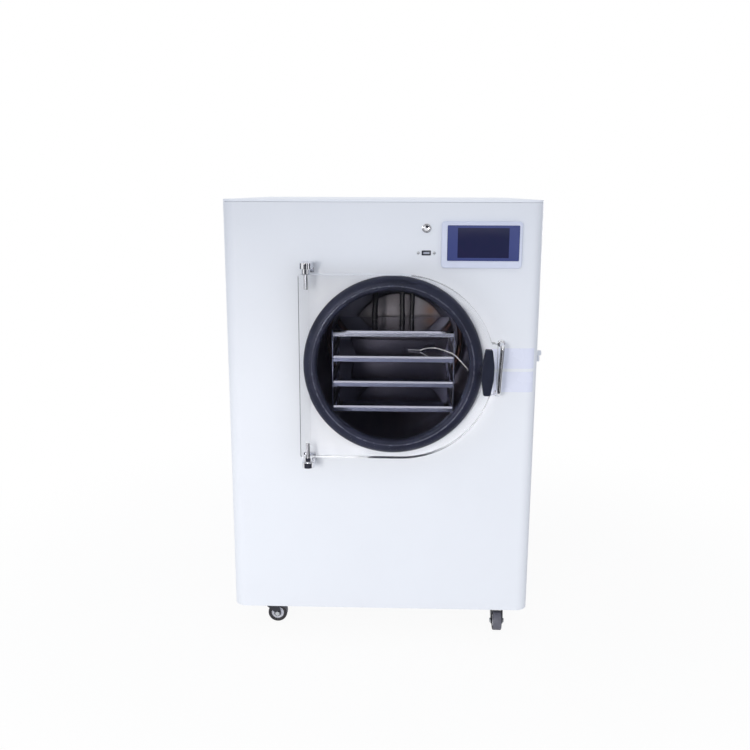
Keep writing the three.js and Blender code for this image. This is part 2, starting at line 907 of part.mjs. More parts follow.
// Temperature probe: a steel tip lying on the second shelf and a lead to a gland in the wall
function addProbe() {
  const shelfZ = shelfTop(1) + gap;
  const tipEnd = [probeTipX + probeTipLength, probeTipBehindFront - 6];
  const tipPath = new THREE.LineCurve3(
    new THREE.Vector3(probeTipX, probeTipBehindFront, shelfZ + probeTipRadius),
    new THREE.Vector3(...tipEnd, shelfZ + probeTipRadius),
  );
  add("probe_tip", swept(tipPath, probeTipRadius, 1, 12), stainless, chamber);
  const glandX = Math.sqrt(chamberClear ** 2 - (Math.abs(probeGlandRise) + 5) ** 2);
  const gland = rodX(5, glandX - 9, glandX, 12).translate(
    0,
    probeGlandBehindFront,
    probeGlandRise,
  );
  add("probe_gland", gland, blackPlastic, chamber);
  const outside = rackWidth / 2;
  const route = [
    [tipEnd[0] + 0.6, tipEnd[1] - 0.2, shelfZ + probeTipRadius],
    [tipEnd[0] + 10, tipEnd[1] - 4, shelfZ + 6],
    [84, 76, shelfZ + 12],
    [105, 56, shelfZ + 9.5],
    [outside - 1, rackFront - 5, shelfZ + 5],
    [outside + 13, rackFront - 6, -1],
    [outside + 23, rackFront - 3, -12],
    [outside + 28, rackFront + 4, probeGlandRise + 3],
    [glandX - 14, probeGlandBehindFront - 1, probeGlandRise + 0.5],
    [glandX - 9 - gap, probeGlandBehindFront, probeGlandRise],
  ].map(([x, y, z]) => new THREE.Vector3(x, y, z));
  const path = new THREE.CatmullRomCurve3(route, false, "centripetal");
  add("probe_lead", swept(path, probeRadius, 28, 8), chrome, chamber);
}

// Vacuum port: a tube welded on the back plate, with a clamp flange outside the rear panel
function addVacuumPort() {
  const end = rearOuter + portReach;
  const seat = end - portFlangeThickness;
  const port = turnedY(
    [
      [portBore, drumBack + gap],
      [portCollar, drumBack + gap],
      [portCollar, drumBack + gap + 4],
      [portTube, drumBack + gap + 4],
      [portTube, seat - 4],
      [portFlange, seat],
      [portFlange, end],
      [portBore, end],
    ],
    20,
  );
  add("vacuum_port", port, stainless, chamber);
}

// Points on an arc, both ends included
function arc(x, z, radius, from, to, steps) {
  return Array.from({ length: steps + 1 }, (_, i) => {
    const angle = THREE.MathUtils.degToRad(from + ((to - from) * i) / steps);
    return [x + radius * Math.cos(angle), z + radius * Math.sin(angle)];
  });
}

// Plan of the door, about the chamber axis
function doorOutline() {
  const lugAngle = THREE.MathUtils.radToDeg(Math.asin(lugHalfHeight / doorHalfHeight));
  const [l, h] = [doorLeft - doorCorner, doorHalfHeight - doorCorner];
  const [lugX, lugZ] = [lugReach - lugRadius, lugHalfHeight - lugRadius];
  return outline([
    ...arc(doorArcShift, 0, doorHalfHeight, -90, -lugAngle, 16),
    ...arc(lugX, -lugZ, lugRadius, -90, 0, 3),
    ...arc(lugX, lugZ, lugRadius, 0, 90, 3),
    ...arc(doorArcShift, 0, doorHalfHeight, lugAngle, 90, 16),
    ...arc(-l, h, doorCorner, 90, 180, 2),
    ...arc(-l, -h, doorCorner, 180, 270, 2),
  ]);
}

function addDoor() {
  const slab = prismY(doorOutline(), doorFront, doorBack, 1, doorEdge);
  const slope = doorBevelDepth / doorBevelWidth;
  const over = 4;
  const bevel = prismZ(
    outline([
      [-doorLeft - over, doorBack - doorBevelDepth - over * slope],
      [-doorLeft + doorBevelWidth + over, doorBack + over * slope],
      [-doorLeft - over, doorBack + over * slope],
    ]),
    -doorHalfHeight - 5,
    doorHalfHeight + 5,
  );
  const pinBore = pinRadius + runningGap;
  const depth = pinBite + runningGap;
  const bores = [-1, 1].map((end) =>
    rodZ(pinBore, doorHalfHeight - depth, doorHalfHeight + 5, 12)
      .rotateX(end > 0 ? 0 : Math.PI)
      .translate(pinX - chamberX, pinY, 0),
  );
  const spindleBore = rodY(spindleRadius + 2 * gap, doorFront - 5, doorBack + 5, 16);
  const door = cut(slab, bevel, ...bores, spindleBore.translate(spindleX, 0, 0));
  add("door", door, clearPlastic, chamber);
}

// One hinge drawn for the top: base on the panel, arm out to the pin, collar down to the door
function hingeBracket() {
  const collarZ = doorHalfHeight + runningGap;
  const armZ = collarZ + collarHeight;
  const half = hingeArmWidth / 2;
  const plan = new THREE.Shape();
  plan.moveTo(half, -gap);
  plan.lineTo(-half, -gap);
  plan.lineTo(-half, pinY);
  plan.absarc(0, pinY, half, Math.PI, 2 * Math.PI);
  plan.lineTo(half, -gap);
  const arm = prismZ(plan, armZ, armZ + hingeArmHeight, 6, 0.8);
  const base = box(
    -half,
    half,
    -gap - hingeBase,
    -gap,
    doorHalfHeight - 8,
    armZ + hingeArmHeight - 1,
  );
  const collar = rodZ(collarRadius, collarZ, armZ + 1, 16).translate(0, pinY, 0);
  const bore = rodZ(pinRadius + gap, collarZ - 5, armZ + hingeArmHeight + 5, 12);
  return cut(joined(arm, base, collar), bore.translate(0, pinY, 0));
}

function hingePin() {
  const [tip, top] = [
    doorHalfHeight - pinBite,
    doorHalfHeight + runningGap + collarHeight + hingeArmHeight + gap,
  ];
  return turnedZ(
    [
      [0, tip],
      [pinRadius - 0.6, tip],
      [pinRadius, tip + 0.6],
      [pinRadius, top],
      [pinHeadRadius, top],
      [pinHeadRadius - 0.6, top + pinHeadHeight],
      [0, top + pinHeadHeight],
    ].reverse(),
    12,
  ).translate(0, pinY, 0);
}

function addHinges() {
  [
    ["top", 0],
    ["bottom", Math.PI],
  ].forEach(([end, turn]) => {
    const mirror = turn ? [0, 0, 1] : null;
    const place = (geometry) => {
      const solid = solidOf(geometry);
      const turned = mirror ? solid.mirror(mirror) : solid;
      return geometryOf(turned).translate(pinX - chamberX, 0, 0);
    };
    add(`hinge_bracket_${end}`, place(hingeBracket()), chrome, chamber);
    add(`hinge_pin_${end}`, place(hingePin()), chrome, chamber);
  });
}

// Latch: knob outside, spindle through the lug, arm behind it. At rest the arm hangs released,
// and a quarter turn brings it behind the keeper's bar
const latch = new THREE.Group();
latch.position.set(spindleX, 0, 0);
chamber.add(latch);

function addLatch() {
  const [w, t, l] = [knobWidth / 2, knobTipWidth / 2, knobLength / 2];
  const wing = outline([
    [-t, -l],
    [t, -l],
    [w, -0.16 * knobLength],
    [w, 0.16 * knobLength],
    [t, l],
    [-t, l],
    [-w, 0.16 * knobLength],
    [-w, -0.16 * knobLength],
  ]);
  const grip = prismY(wing, knobFront, knobFront + knobThickness, 4, 2);
  const hub = turnedY(
    [
      [0, knobBack],
      [hubRadius, knobBack],
      [hubRadius - 1.5, knobFront + knobThickness - 1],
      [0, knobFront + knobThickness - 1],
    ],
    20,
  );
  const socket = rodY(spindleRadius + gap, knobFront + 5 - gap, knobBack + 5, 16);
  const knob = add("latch_knob", cut(joined(grip, hub), socket), blackPlastic, latch);
  knob.rotation.y = THREE.MathUtils.degToRad(knobLean);

  const nutFront = armBack + gap;
  const spindle = turnedY(
    [
      [0, knobFront + 5],
      [spindleRadius, knobFront + 5],
      [spindleRadius, nutFront],
      [spindleNut, nutFront],
      [spindleNut, nutFront + spindleNutHeight],
      [0, nutFront + spindleNutHeight],
    ],
    16,
  );
  add("latch_spindle", spindle, chrome, latch);

  const [root, tip] = [armWidth / 2, armTipWidth / 2];
  const plan = new THREE.Shape();
  plan.moveTo(-root, 0);
  plan.lineTo(-root, -armLength + 3 * tip);
  plan.lineTo(-tip, -armLength + 2);
  plan.lineTo(-tip + 2, -armLength);
  plan.lineTo(tip - 2, -armLength);
  plan.lineTo(tip, -armLength + 2);
  plan.lineTo(root, -armLength + 3 * tip);
  plan.lineTo(root, 0);
  plan.absarc(0, 0, root, 0, Math.PI);
  const arm = cut(
    prismY(plan, armBack - armThickness, armBack, 6),
    rodY(spindleRadius + gap, armBack - 20, armBack + 20, 16),
  );
  add("latch_arm", arm, chrome, latch);
}

// Keeper: a wire loop on two feet, standing off the front panel
function addKeeper() {
  const half = keeperHeight / 2 - keeperWire;
  const points = [
    [0, -gap, half],
    [0, keeperY, half],
    [0, keeperY, -half],
    [0, -gap, -half],
  ].map(([x, y, z]) => new THREE.Vector3(x, y, z));
  const wire = swept(bentPath(points, keeperBend), keeperWire, 20, 8);
  const feet = [half, -half].map((z) => rodY(keeperFoot, -gap - 2, -gap, 12).translate(0, 0, z));
  const keeper = add("latch_keeper", joined(wire, ...feet), chrome, chamber);
  keeper.position.set(keeperX, 0, keeperRise);
  keeper.rotation.y = THREE.MathUtils.degToRad(keeperLean);
}

// Touch screen: housing through the panel and a glass sunk in its face
function addScreen() {
  const housing = prismY(
    roundedRectangle(screenWidth, screenHeight, screenRadius),
    -screenProud,
    -gap,
    3,
    1.2,
  );
  const body = prismY(
    roundedRectangle(screenBody, screenBodyHeight, 3 - gap),
    -gap - 2,
    screenBodyDepth,
    2,
  );
  const seat = -screenProud + glassThickness + 2 * gap;
  const pocket = prismY(
    roundedRectangle(glassWidth + 2 * gap, glassHeight + 2 * gap, 2),
    -screenProud - 5,
    seat,
    2,
  ).translate(glassShiftX, 0, glassShiftZ);
  const screen = new THREE.Group();
  screen.position.set(screenX, 0, bottomZ + screenRise);
  machine.add(screen);
  add("screen_housing", cut(joined(housing, body), pocket), greyPlastic, screen);
  const glass = prismY(
    roundedRectangle(glassWidth, glassHeight, 2 - gap),
    seat - gap - glassThickness,
    seat - gap,
    2,
  ).translate(glassShiftX, 0, glassShiftZ);
  add("screen_glass", glass, screenGlass, screen);
}

// Push button: a cup with a rim on the panel, and the cap that slides in it
function addPowerButton() {
  const button = new THREE.Group();
  button.position.set(controlX, 0, bottomZ + buttonRise);
  machine.add(button);
  const bore = buttonCap + gap;
  const floor = -buttonCapProud + buttonCapDepth + buttonTravel + 1;
  const cup = turnedY(
    [
      [0, floor],
      [bore, floor],
      [bore, -buttonRingProud],
      [bore + 0.8, -buttonRingProud],
      [buttonRing, -buttonRingProud + buttonRingRim - 0.6],
      [buttonRing, -gap],
      [buttonBody, -gap],
      [buttonBody, buttonBodyDepth],
      [0, buttonBodyDepth],
    ],
    20,
  );
  add("power_button_ring", cup, chrome, button);
  const cap = turnedY(
    [
      [0, -buttonCapProud],
      [buttonCap - 0.7, -buttonCapProud],
      [buttonCap, -buttonCapProud + 0.7],
      [buttonCap, -buttonCapProud + buttonCapDepth],
      [0, -buttonCapProud + buttonCapDepth],
    ].reverse(),
    20,
  );
  add("power_button_cap", cap, stainless, button);
}

// USB socket behind the panel, held by two screws
function addUsbPort() {
  const usb = new THREE.Group();
  usb.position.set(controlX, 0, bottomZ + usbRise);
  machine.add(usb);
  const [w, h] = [usbWidth / 2, usbHeight / 2];
  const back = sheet + gap;
  const earWidth = usbScrewPitch / 2 + 5;
  const face = box(-w, w, -0.6, back + 1, -h, h);
  const ears = box(-earWidth, earWidth, back, back + 3, -h - 1.5, h + 1.5);
  const body = box(-w, w, back + 2, back + 16, -h, h);
  const slot = box(
    -usbSlotWidth / 2,
    usbSlotWidth / 2,
    -5,
    usbSlotDepth,
    -usbSlotHeight / 2,
    usbSlotHeight / 2,
  );
  const holes = [-1, 1].map((side) =>
    rodY(1.6 + gap, -5, back + 10, 10).translate((side * usbScrewPitch) / 2, 0, 0),
  );
  add("usb_port", cut(joined(face, ears, body), slot, ...holes), blackPlastic, usb);
  [-1, 1].forEach((side) => {
    const screw = turnedY(
      [
        [0, -gap - 1.5],
        [usbScrewHead - 0.9, -gap - 1.5],
        [usbScrewHead, -gap - 0.6],
        [usbScrewHead, -gap],
        [1.6, -gap],
        [1.6, back + 4.5],
        [0, back + 4.5],
      ],
      8,
    ).translate((side * usbScrewPitch) / 2, 0, 0);
    add(side > 0 ? "usb_screw_right" : "usb_screw_left", screw, zinc, usb);
  });
}

// Vent fitting: hex nut on the side panel, a stub, and a barb turned down
function addVent() {
  const face = cabinetWidth / 2;
  const end = face + ventReach;
  const stub = turnedX(
    [
      [0, face - 12],
      [ventRadius, face - 12],
      [ventRadius, end - 1],
      [ventRadius - 1, end],
      [0, end],
    ],
    10,
  );
  const nut = turnedX(
    [
      [0, face + gap],
      [ventNut, face + gap],
      [ventNut, face + gap + 6],
      [0, face + gap + 6],
    ],
    6,
  );
  const backNut = turnedX(
    [
      [0, face - sheet - gap - 4],
      [ventNut, face - sheet - gap - 4],
      [ventNut, face - sheet - gap],
      [0, face - sheet - gap],
    ],
    6,
  );
  const barb = turnedZ(
    [
      [0, -barbDrop],
      [barbRadius - 0.9, -barbDrop],
      [barbRadius, -barbDrop + 4],
      [barbRadius - 0.8, -barbDrop + 4],
      [barbRadius, -barbDrop + 8],
      [barbRadius - 0.8, -barbDrop + 8],
      [barbRadius - 0.8, 0],
      [0, 0],
    ].reverse(),
    8,
  ).translate(end - ventRadius - 1, 0, 0);
  const vent = add("vent_fitting", joined(stub, nut, backNut, barb), zinc);
  vent.position.set(0, ventBehindFront, bottomZ + ventRise);
}

// Mains inlet with three pins in its cavity, and the pump's outlet above it
function addSockets() {
  const flange = prismY(
    roundedRectangle(socketWidth, socketHeight, 4),
    rearOuter + gap,
    rearOuter + gap + socketProud,
    3,
  );
  const body = box(
    -socketBodyWidth / 2,
    socketBodyWidth / 2,
    rearOuter - socketDepth,
    rearOuter + gap + 1,
    -socketBodyHeight / 2,
    socketBodyHeight / 2,
  );
  const front = rearOuter + gap + socketProud;
  const [w, h] = [socketCavityWidth / 2, socketCavityHeight / 2];
  const mouth = outline([
    [-w, -h],
    [w, -h],
    [w, h - 5],
    [w - 5, h],
    [5 - w, h],
    [-w, h - 5],
  ]);
  const cavity = prismY(mouth, front - socketCavityDepth, front + 5);
  const pin = (x, z) => box(x - 1, x + 1, front - socketCavityDepth - 1, front - 7, z - 2.2, z + 2.2);
  const inlet = joined(cut(joined(flange, body), cavity), pin(-7, -2.5), pin(7, -2.5), pin(0, 2.5));
  const core = prismY(outline([
    [1 - w, 1 - h],
    [w - 1, 1 - h],
    [w - 1, h - 5.5],
    [w - 5.5, h - 1],
    [5.5 - w, h - 1],
    [1 - w, h - 5.5],
  ]), front - socketCavityDepth - 1, front - 1.5);
  const slit = (x, z) => box(x - 1.1, x + 1.1, front - 6, front + 5, z - 2.6, z + 2.6);
  const outlet = cut(
    joined(cut(joined(flange, body), cavity), core),
    slit(-7, -2.5),
    slit(7, -2.5),
    slit(0, 2.5),
  );
  add("mains_inlet", inlet, blackPlastic).position.set(socketX, 0, socketHeights[0]);
  add("pump_outlet", outlet, blackPlastic).position.set(socketX, 0, socketHeights[1]);
}

// Fan behind the rear guard: a square frame with a motor on four arms, and a bladed rotor
function addFan() {
  const fan = new THREE.Group();
  fan.position.set(fanX, rearInner - gap - fanDepth, fanZ);
  machine.add(fan);
  const motorDepth = 6;
  const shell = cut(
    prismY(roundedRectangle(fanSize, fanSize, 6), 0, fanDepth, 3),
    rodY(fanBore, -5, fanDepth + 5, 24),
  );
  const arms = [45, 135, 225, 315].map((degrees) =>
    box(fanHub - 2, fanBore + 2, 0, 3, -2, 2).rotateY(THREE.MathUtils.degToRad(degrees)),
  );
  const motor = rodY(fanHub, 0, motorDepth, 16);
  const axle = rodY(2, motorDepth - 1, motorDepth + 9, 8);
  add("fan_frame", joined(shell, ...arms, motor, axle), blackPlastic, fan);
  const rotorFront = motorDepth + gap;
  const rotorBack = fanDepth - 2;
  const hub = rodY(fanHub - 1, rotorFront, rotorBack, 16);
  const blades = Array.from({ length: fanBladeCount }, (_, i) =>
    box(0, fanBladeTip - 6, -0.8, 0.8, -8.5, 8.5)
      .rotateX(THREE.MathUtils.degToRad(52))
      .translate(6, (rotorFront + rotorBack) / 2, 0)
      .rotateY((2 * Math.PI * i) / fanBladeCount),
  );
  const bore = rodY(2 + gap, rotorFront - 5, motorDepth + 9 + gap, 8);
  add("fan_rotor", cut(joined(hub, ...blades), bore), blackPlastic, fan);
}

// One caster about its kingpin: plate and race on the cabinet, then fork, axle and wheel
function addCaster(name, x, y, degrees) {
  const caster = new THREE.Group();
  caster.position.set(x, y, 0);
  machine.add(caster);
  const top = casterHeight - gap;
  const raceTop = top - casterPlateThickness;
  const raceBottom = raceTop - raceHeight;
  const plate = cut(
    joined(
      prismZ(roundedRectangle(casterPlate, casterPlate, 5), raceTop, top, 1),
      rodZ(raceRadius, raceBottom, raceTop + 1, 12),
    ),
    rodZ(kingpinRadius + gap, raceBottom - 5, raceTop, 12),
  );
  add(`caster_plate_${name}`, plate, zinc, caster);

  const swivel = new THREE.Group();
  swivel.rotation.z = THREE.MathUtils.degToRad(degrees);
  caster.add(swivel);
  const crownTop = raceBottom - gap;
  const inside = wheelWidth / 2 + 1;
  const outside = inside + forkSheet;
  const crown = joined(
    rodZ(forkCrown, crownTop - 3, crownTop, 12),
    box(-outside, outside, -wheelOffset, 0, crownTop - 3, crownTop),
  );
  const leg = new THREE.Shape();
  leg.moveTo(forkCrown * 0.55, crownTop);
  leg.lineTo(-wheelOffset, crownTop);
  leg.lineTo(-wheelOffset - 7, wheelRadius + 3);
  leg.absarc(-wheelOffset, wheelRadius, 7, Math.PI, 2 * Math.PI);
  leg.lineTo(-wheelOffset + 7, wheelRadius + 3);
  leg.lineTo(forkCrown * 0.55, crownTop - 8);
  const legs = [-outside, inside].map((x0) => prismX(leg, x0, x0 + forkSheet, 3));
  const kingpin = rodZ(kingpinRadius, crownTop - 1, raceTop - gap, 12);
  const axle = turnedX(
    [
      [0, -outside - axleNutHeight],
      [axleNut, -outside - axleNutHeight],
      [axleNut, -outside + 0.5],
      [axleRadius, -outside + 0.5],
      [axleRadius, outside - 0.5],
      [axleNut, outside - 0.5],
      [axleNut, outside + axleNutHeight],
      [0, outside + axleNutHeight],
    ],
    6,
  ).translate(0, -wheelOffset, wheelRadius);
  add(`caster_fork_${name}`, joined(crown, ...legs, kingpin, axle), zinc, swivel);

  const half = wheelWidth / 2;
  const dish = half - 1.6;
  const wheel = turnedX(
    [
      [axleRadius + gap, -half],
      [wheelHub, -half],
      [wheelHub + 1, -dish],
      [wheelRadius - 5, -dish],
      [wheelRadius - 4, -half],
      [wheelRadius - 2, -half],
      [wheelRadius, -half + 2.5],
      [wheelRadius, half - 2.5],
      [wheelRadius - 2, half],
      [wheelRadius - 4, half],
      [wheelRadius - 5, dish],
      [wheelHub + 1, dish],
      [wheelHub, half],
      [axleRadius + gap, half],
    ],
    16,
  );
  const turned = add(`caster_wheel_${name}`, wheel, wheelGrey, swivel);
  turned.position.set(0, -wheelOffset, wheelRadius);
}

function addCasters() {
  const x = cabinetWidth / 2 - casterInsetX;
  const y = [casterInsetY, cabinetDepth - casterInsetY];
  addCaster("front_left", -x, y[0], casterTurn.frontLeft);
  addCaster("front_right", x, y[0], casterTurn.frontRight);
  addCaster("rear_left", -x, y[1], casterTurn.rearLeft);
  addCaster("rear_right", x, y[1], casterTurn.rearRight);
}

addBasePan();
addFrame();
addFrontPanel();
addSidePanel(-1);
addSidePanel(1);
addRearPanel();
addTopCover();
addChamber();
addSeal();
addCoil();
addBaffle();
addRack();
addHeaterLeads();
addProbe();
addVacuumPort();
addDoor();
addHinges();
addLatch();
addKeeper();
addScreen();
addPowerButton();
addUsbPort();
addVent();
addSockets();
addFan();
addCasters();

// The origin moves under the middle of the whole machine, on the floor
const left = -cabinetWidth / 2 - louvreReach;
const right = cabinetWidth / 2 + ventReach;
const rear = rearOuter + portReach;
machine.position.set(-(left + right) / 2, -(knobFront + rear) / 2, 0);

export default machine;
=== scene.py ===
import json
import math

import bmesh
import bpy
from mathutils import Matrix, Vector

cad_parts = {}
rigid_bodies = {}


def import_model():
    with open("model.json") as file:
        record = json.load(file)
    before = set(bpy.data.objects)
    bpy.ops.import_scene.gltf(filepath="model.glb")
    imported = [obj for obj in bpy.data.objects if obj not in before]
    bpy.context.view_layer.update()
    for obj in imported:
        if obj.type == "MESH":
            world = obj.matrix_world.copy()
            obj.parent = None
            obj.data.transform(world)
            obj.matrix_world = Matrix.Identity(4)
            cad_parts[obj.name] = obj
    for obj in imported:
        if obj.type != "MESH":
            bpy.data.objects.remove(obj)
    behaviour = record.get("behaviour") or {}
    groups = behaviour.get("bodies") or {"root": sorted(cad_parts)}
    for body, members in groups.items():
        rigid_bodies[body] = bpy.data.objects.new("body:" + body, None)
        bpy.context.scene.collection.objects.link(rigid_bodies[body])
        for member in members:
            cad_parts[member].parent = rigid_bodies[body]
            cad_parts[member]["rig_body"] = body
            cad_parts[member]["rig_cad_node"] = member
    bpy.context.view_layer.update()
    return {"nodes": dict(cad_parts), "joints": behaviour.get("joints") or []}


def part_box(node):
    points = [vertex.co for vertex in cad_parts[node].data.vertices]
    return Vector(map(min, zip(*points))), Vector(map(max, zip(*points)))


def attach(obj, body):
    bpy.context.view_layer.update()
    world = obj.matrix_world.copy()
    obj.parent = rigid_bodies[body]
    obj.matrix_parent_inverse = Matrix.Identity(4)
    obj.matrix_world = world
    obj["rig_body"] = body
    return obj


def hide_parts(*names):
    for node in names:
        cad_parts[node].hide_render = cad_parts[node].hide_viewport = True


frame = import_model()
joints = {joint["name"]: joint for joint in frame["joints"]}
print("frame loaded")


def midway(name):
    # the middle of a node's box
    low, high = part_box(name)
    return [(a + b) / 2 for a, b in zip(low, high)]


# Where the frame puts things
panelLow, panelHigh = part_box("front_panel")
front = panelLow.y
axisX, _, axisZ = midway("chamber")


def deselectAll():
    if bpy.context.object and bpy.context.object.mode != "OBJECT":
        bpy.ops.object.mode_set(mode="OBJECT")
    bpy.ops.object.select_all(action="DESELECT")


def pick(piece, *others):
    deselectAll()
    for item in (piece, *others):
        item.select_set(True)
    bpy.context.view_layer.objects.active = piece


# Camera first
viewpoint = {
    "spot": (0.02175, -1.8691, 0.897),
    "down": 12.35,
    "left": 1.68,
    "roll": 0.22,
    "lens": 40.3,
}
tilt = (
    Matrix.Rotation(math.radians(viewpoint["left"]), 4, "Z")
    @ Matrix.Rotation(math.radians(90 - viewpoint["down"]), 4, "X")
    @ Matrix.Rotation(math.radians(viewpoint["roll"]), 4, "Z")
)
deselectAll()
bpy.ops.object.camera_add(location=viewpoint["spot"], rotation=tilt.to_euler())
bpy.context.scene.camera = bpy.context.object
bpy.context.object.data.lens = viewpoint["lens"]
bpy.context.object.data.sensor_width = 36
bpy.context.scene.view_settings.view_transform = "Standard"


def smoothRoute(points, perSpan=8):
    # a centripetal line through the points
    knots = [Vector(p) for p in points]
    knots = [2 * knots[0] - knots[1], *knots, 2 * knots[-1] - knots[-2]]
    route = []
    for a, b, c, d in zip(knots, knots[1:], knots[2:], knots[3:]):
        t0, t1 = 0, (b - a).length ** 0.5
        t2 = t1 + (c - b).length ** 0.5
        t3 = t2 + (d - c).length ** 0.5
        for k in range(perSpan):
            t = t1 + (t2 - t1) * k / perSpan
            ab = a.lerp(b, (t - t0) / (t1 - t0))
            bc = b.lerp(c, (t - t1) / (t2 - t1))
            cd = c.lerp(d, (t - t2) / (t3 - t2))
            abc = ab.lerp(bc, (t - t0) / (t2 - t0))
            bcd = bc.lerp(cd, (t - t1) / (t3 - t1))
            route.append(abc.lerp(bcd, (t - t1) / (t2 - t1)))
    route.append(knots[-2])
    return route


# Pipes, wires and leads: a curve through the points, turned to a mesh
def piped(name, route, radius, sides=6, swell=None):
    deselectAll()
    bpy.ops.curve.primitive_nurbs_path_add(location=(0, 0, 0))
    pipe = bpy.context.object
    pipe.name = name
    pipe.data.splines.clear()
    line = pipe.data.splines.new("POLY")
    line.points.add(len(route) - 1)
    for k, (spot, place) in enumerate(zip(line.points, route)):
        spot.co = (*place, 1)
        spot.radius = swell[k % len(swell)] if swell else 1
    line.use_smooth = True
    pipe.data.bevel_depth = radius
    pipe.data.bevel_resolution = sides
    pipe.data.use_fill_caps = True
    pipe.data.dimensions = "3D"
    bpy.ops.object.convert(target="MESH")
    return bpy.context.object


# The probe's braided lead, from the tip on the second shelf to its gland, in sizes
# about the chamber's axis; it is laid out the other way round
probeLead = {
    "radius": 0.0011,
    "strands": (1.0, 0.93, 0.76, 0.93),
    "steps": 32,
    "route": [
        (0.05460, 0.10580, 0.00980),
        (0.06400, 0.10200, 0.01390),
        (0.08400, 0.07600, 0.01990),
        (0.10500, 0.05600, 0.01740),
        (0.11925, 0.04500, 0.01290),
        (0.13325, 0.04400, -0.00100),
        (0.14325, 0.04700, -0.01200),
        (0.14825, 0.05400, -0.01900),
        (0.14796, 0.06100, -0.02150),
        (0.15266, 0.06200, -0.02200),
    ],
}
leadRoute = [
    Vector((axisX + x, front + y, axisZ + z))
    for x, y, z in reversed(smoothRoute(probeLead["route"], probeLead["steps"]))
]
leadPiece = piped(
    "probe_lead_braid", leadRoute, probeLead["radius"], 4, swell=probeLead["strands"]
)
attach(leadPiece, "cabinet")
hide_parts("probe_lead")
print("camera and lead done")


def choose(piece, kind, test):
    # in edit mode, selects what passes the test and nothing else
    bpy.context.view_layer.objects.active = piece
    if piece.mode != "EDIT":
        bpy.ops.object.mode_set(mode="EDIT")
    bpy.ops.mesh.select_mode(type=kind)
    bpy.ops.mesh.select_all(action="DESELECT")
    shape = bmesh.from_edit_mesh(piece.data)
    if kind == "FACE":
        for face in shape.faces:
            face.select_set(bool(test(face.calc_center_median(), face.normal)))
    else:
        for edge in shape.edges:
            a, b = (end.co for end in edge.verts)
            edge.select_set(bool(test((a + b) / 2, (b - a).normalized())))
    shape.select_flush_mode()
    bmesh.update_edit_mesh(piece.data)


def rounded(piece, kind, test, width, steps):
    # a round on the edges of what passes the test
    choose(piece, kind, test)
    bpy.ops.mesh.bevel(offset=width, segments=steps, affect="EDGES")
    bpy.ops.object.mode_set(mode="OBJECT")
    return piece


def paint(piece, finish, *areas):
    # one finish all over, then the others on the faces that pass their tests
    piece.data.materials.clear()
    for look in (finish, *(area[0] for area in areas)):
        piece.data.materials.append(look)
    for number, (look, test) in enumerate(areas, 1):
        choose(piece, "FACE", test)
        piece.active_material_index = number
        bpy.ops.object.material_slot_assign()
        bpy.ops.object.mode_set(mode="OBJECT")
    return piece


def closeUp(piece):
    # welds what meets, turns the faces out and leaves edit mode
    bpy.ops.mesh.select_mode(type="VERT")
    bpy.ops.mesh.select_all(action="SELECT")
    bpy.ops.mesh.remove_doubles(threshold=1e-6)
    bpy.ops.mesh.normals_make_consistent(inside=False)
    bpy.ops.object.mode_set(mode="OBJECT")
    return piece


def drawn(name, points):
    # one vertex, extruded from point to point
    deselectAll()
    bpy.ops.mesh.primitive_plane_add(size=0.01, location=(0, 0, 0))
    piece = bpy.context.object
    piece.name = name
    bpy.ops.object.mode_set(mode="EDIT")
    bpy.ops.mesh.select_mode(type="VERT")
    bpy.ops.mesh.select_all(action="SELECT")
    bpy.ops.mesh.merge(type="CENTER")
    bpy.ops.transform.translate(value=Vector(points[0]))
    for here, there in zip(points, points[1:]):
        step = Vector(there) - Vector(here)
        bpy.ops.mesh.extrude_vertices_move(TRANSFORM_OT_translate={"value": step})
    bpy.ops.mesh.select_all(action="SELECT")
    return piece


# A profile of (radius, along) pairs spun about an axis through the centre
def turned(name, profile, centre, axis="Y", steps=96):
    x, y, z = centre
    spots = {
        "X": [(x + h, y, z + r) for r, h in profile],
        "Y": [(x + r, y + h, z) for r, h in profile],
        "Z": [(x + r, y, z + h) for r, h in profile],
    }[axis]
    piece = drawn(name, spots)
    about = {"X": (1, 0, 0), "Y": (0, 1, 0), "Z": (0, 0, 1)}[axis]
    bpy.ops.mesh.spin(steps=steps, angle=2 * math.pi, center=centre, axis=about)
    return closeUp(piece)


# A closed outline, filled and pulled out
def slab(name, points, pull):
    piece = drawn(name, points)
    bpy.ops.mesh.edge_face_add()
    bpy.ops.mesh.extrude_region_move(TRANSFORM_OT_translate={"value": Vector(pull)})
    return closeUp(piece)


def easeSharp(piece, width, steps=2, angle=50):
    # a small round on every sharp edge
    pick(piece)
    bpy.ops.object.mode_set(mode="EDIT")
    bpy.ops.mesh.select_mode(type="EDGE")
    bpy.ops.mesh.select_all(action="DESELECT")
    bpy.ops.mesh.edges_select_sharp(sharpness=math.radians(angle))
    bpy.ops.mesh.bevel(offset=width, segments=steps, affect="EDGES")
    bpy.ops.object.mode_set(mode="OBJECT")
    return piece


# A cube at its size and place, with its corners round along one axis and its rims eased
def block(name, low, high, corner=0, rim=0.0005, along="Y", steps=6):
    low, high = Vector(low), Vector(high)
    deselectAll()
    bpy.ops.mesh.primitive_cube_add(size=1, location=(low + high) / 2, scale=high - low)
    piece = bpy.context.object
    piece.name = name
    bpy.ops.object.transform_apply(location=True, rotation=True, scale=True)
    if corner:
        way = "XYZ".index(along)
        rounded(piece, "EDGE", lambda at, run: abs(run[way]) > 0.99, corner, steps)
    if rim:
        easeSharp(piece, rim)
    return piece


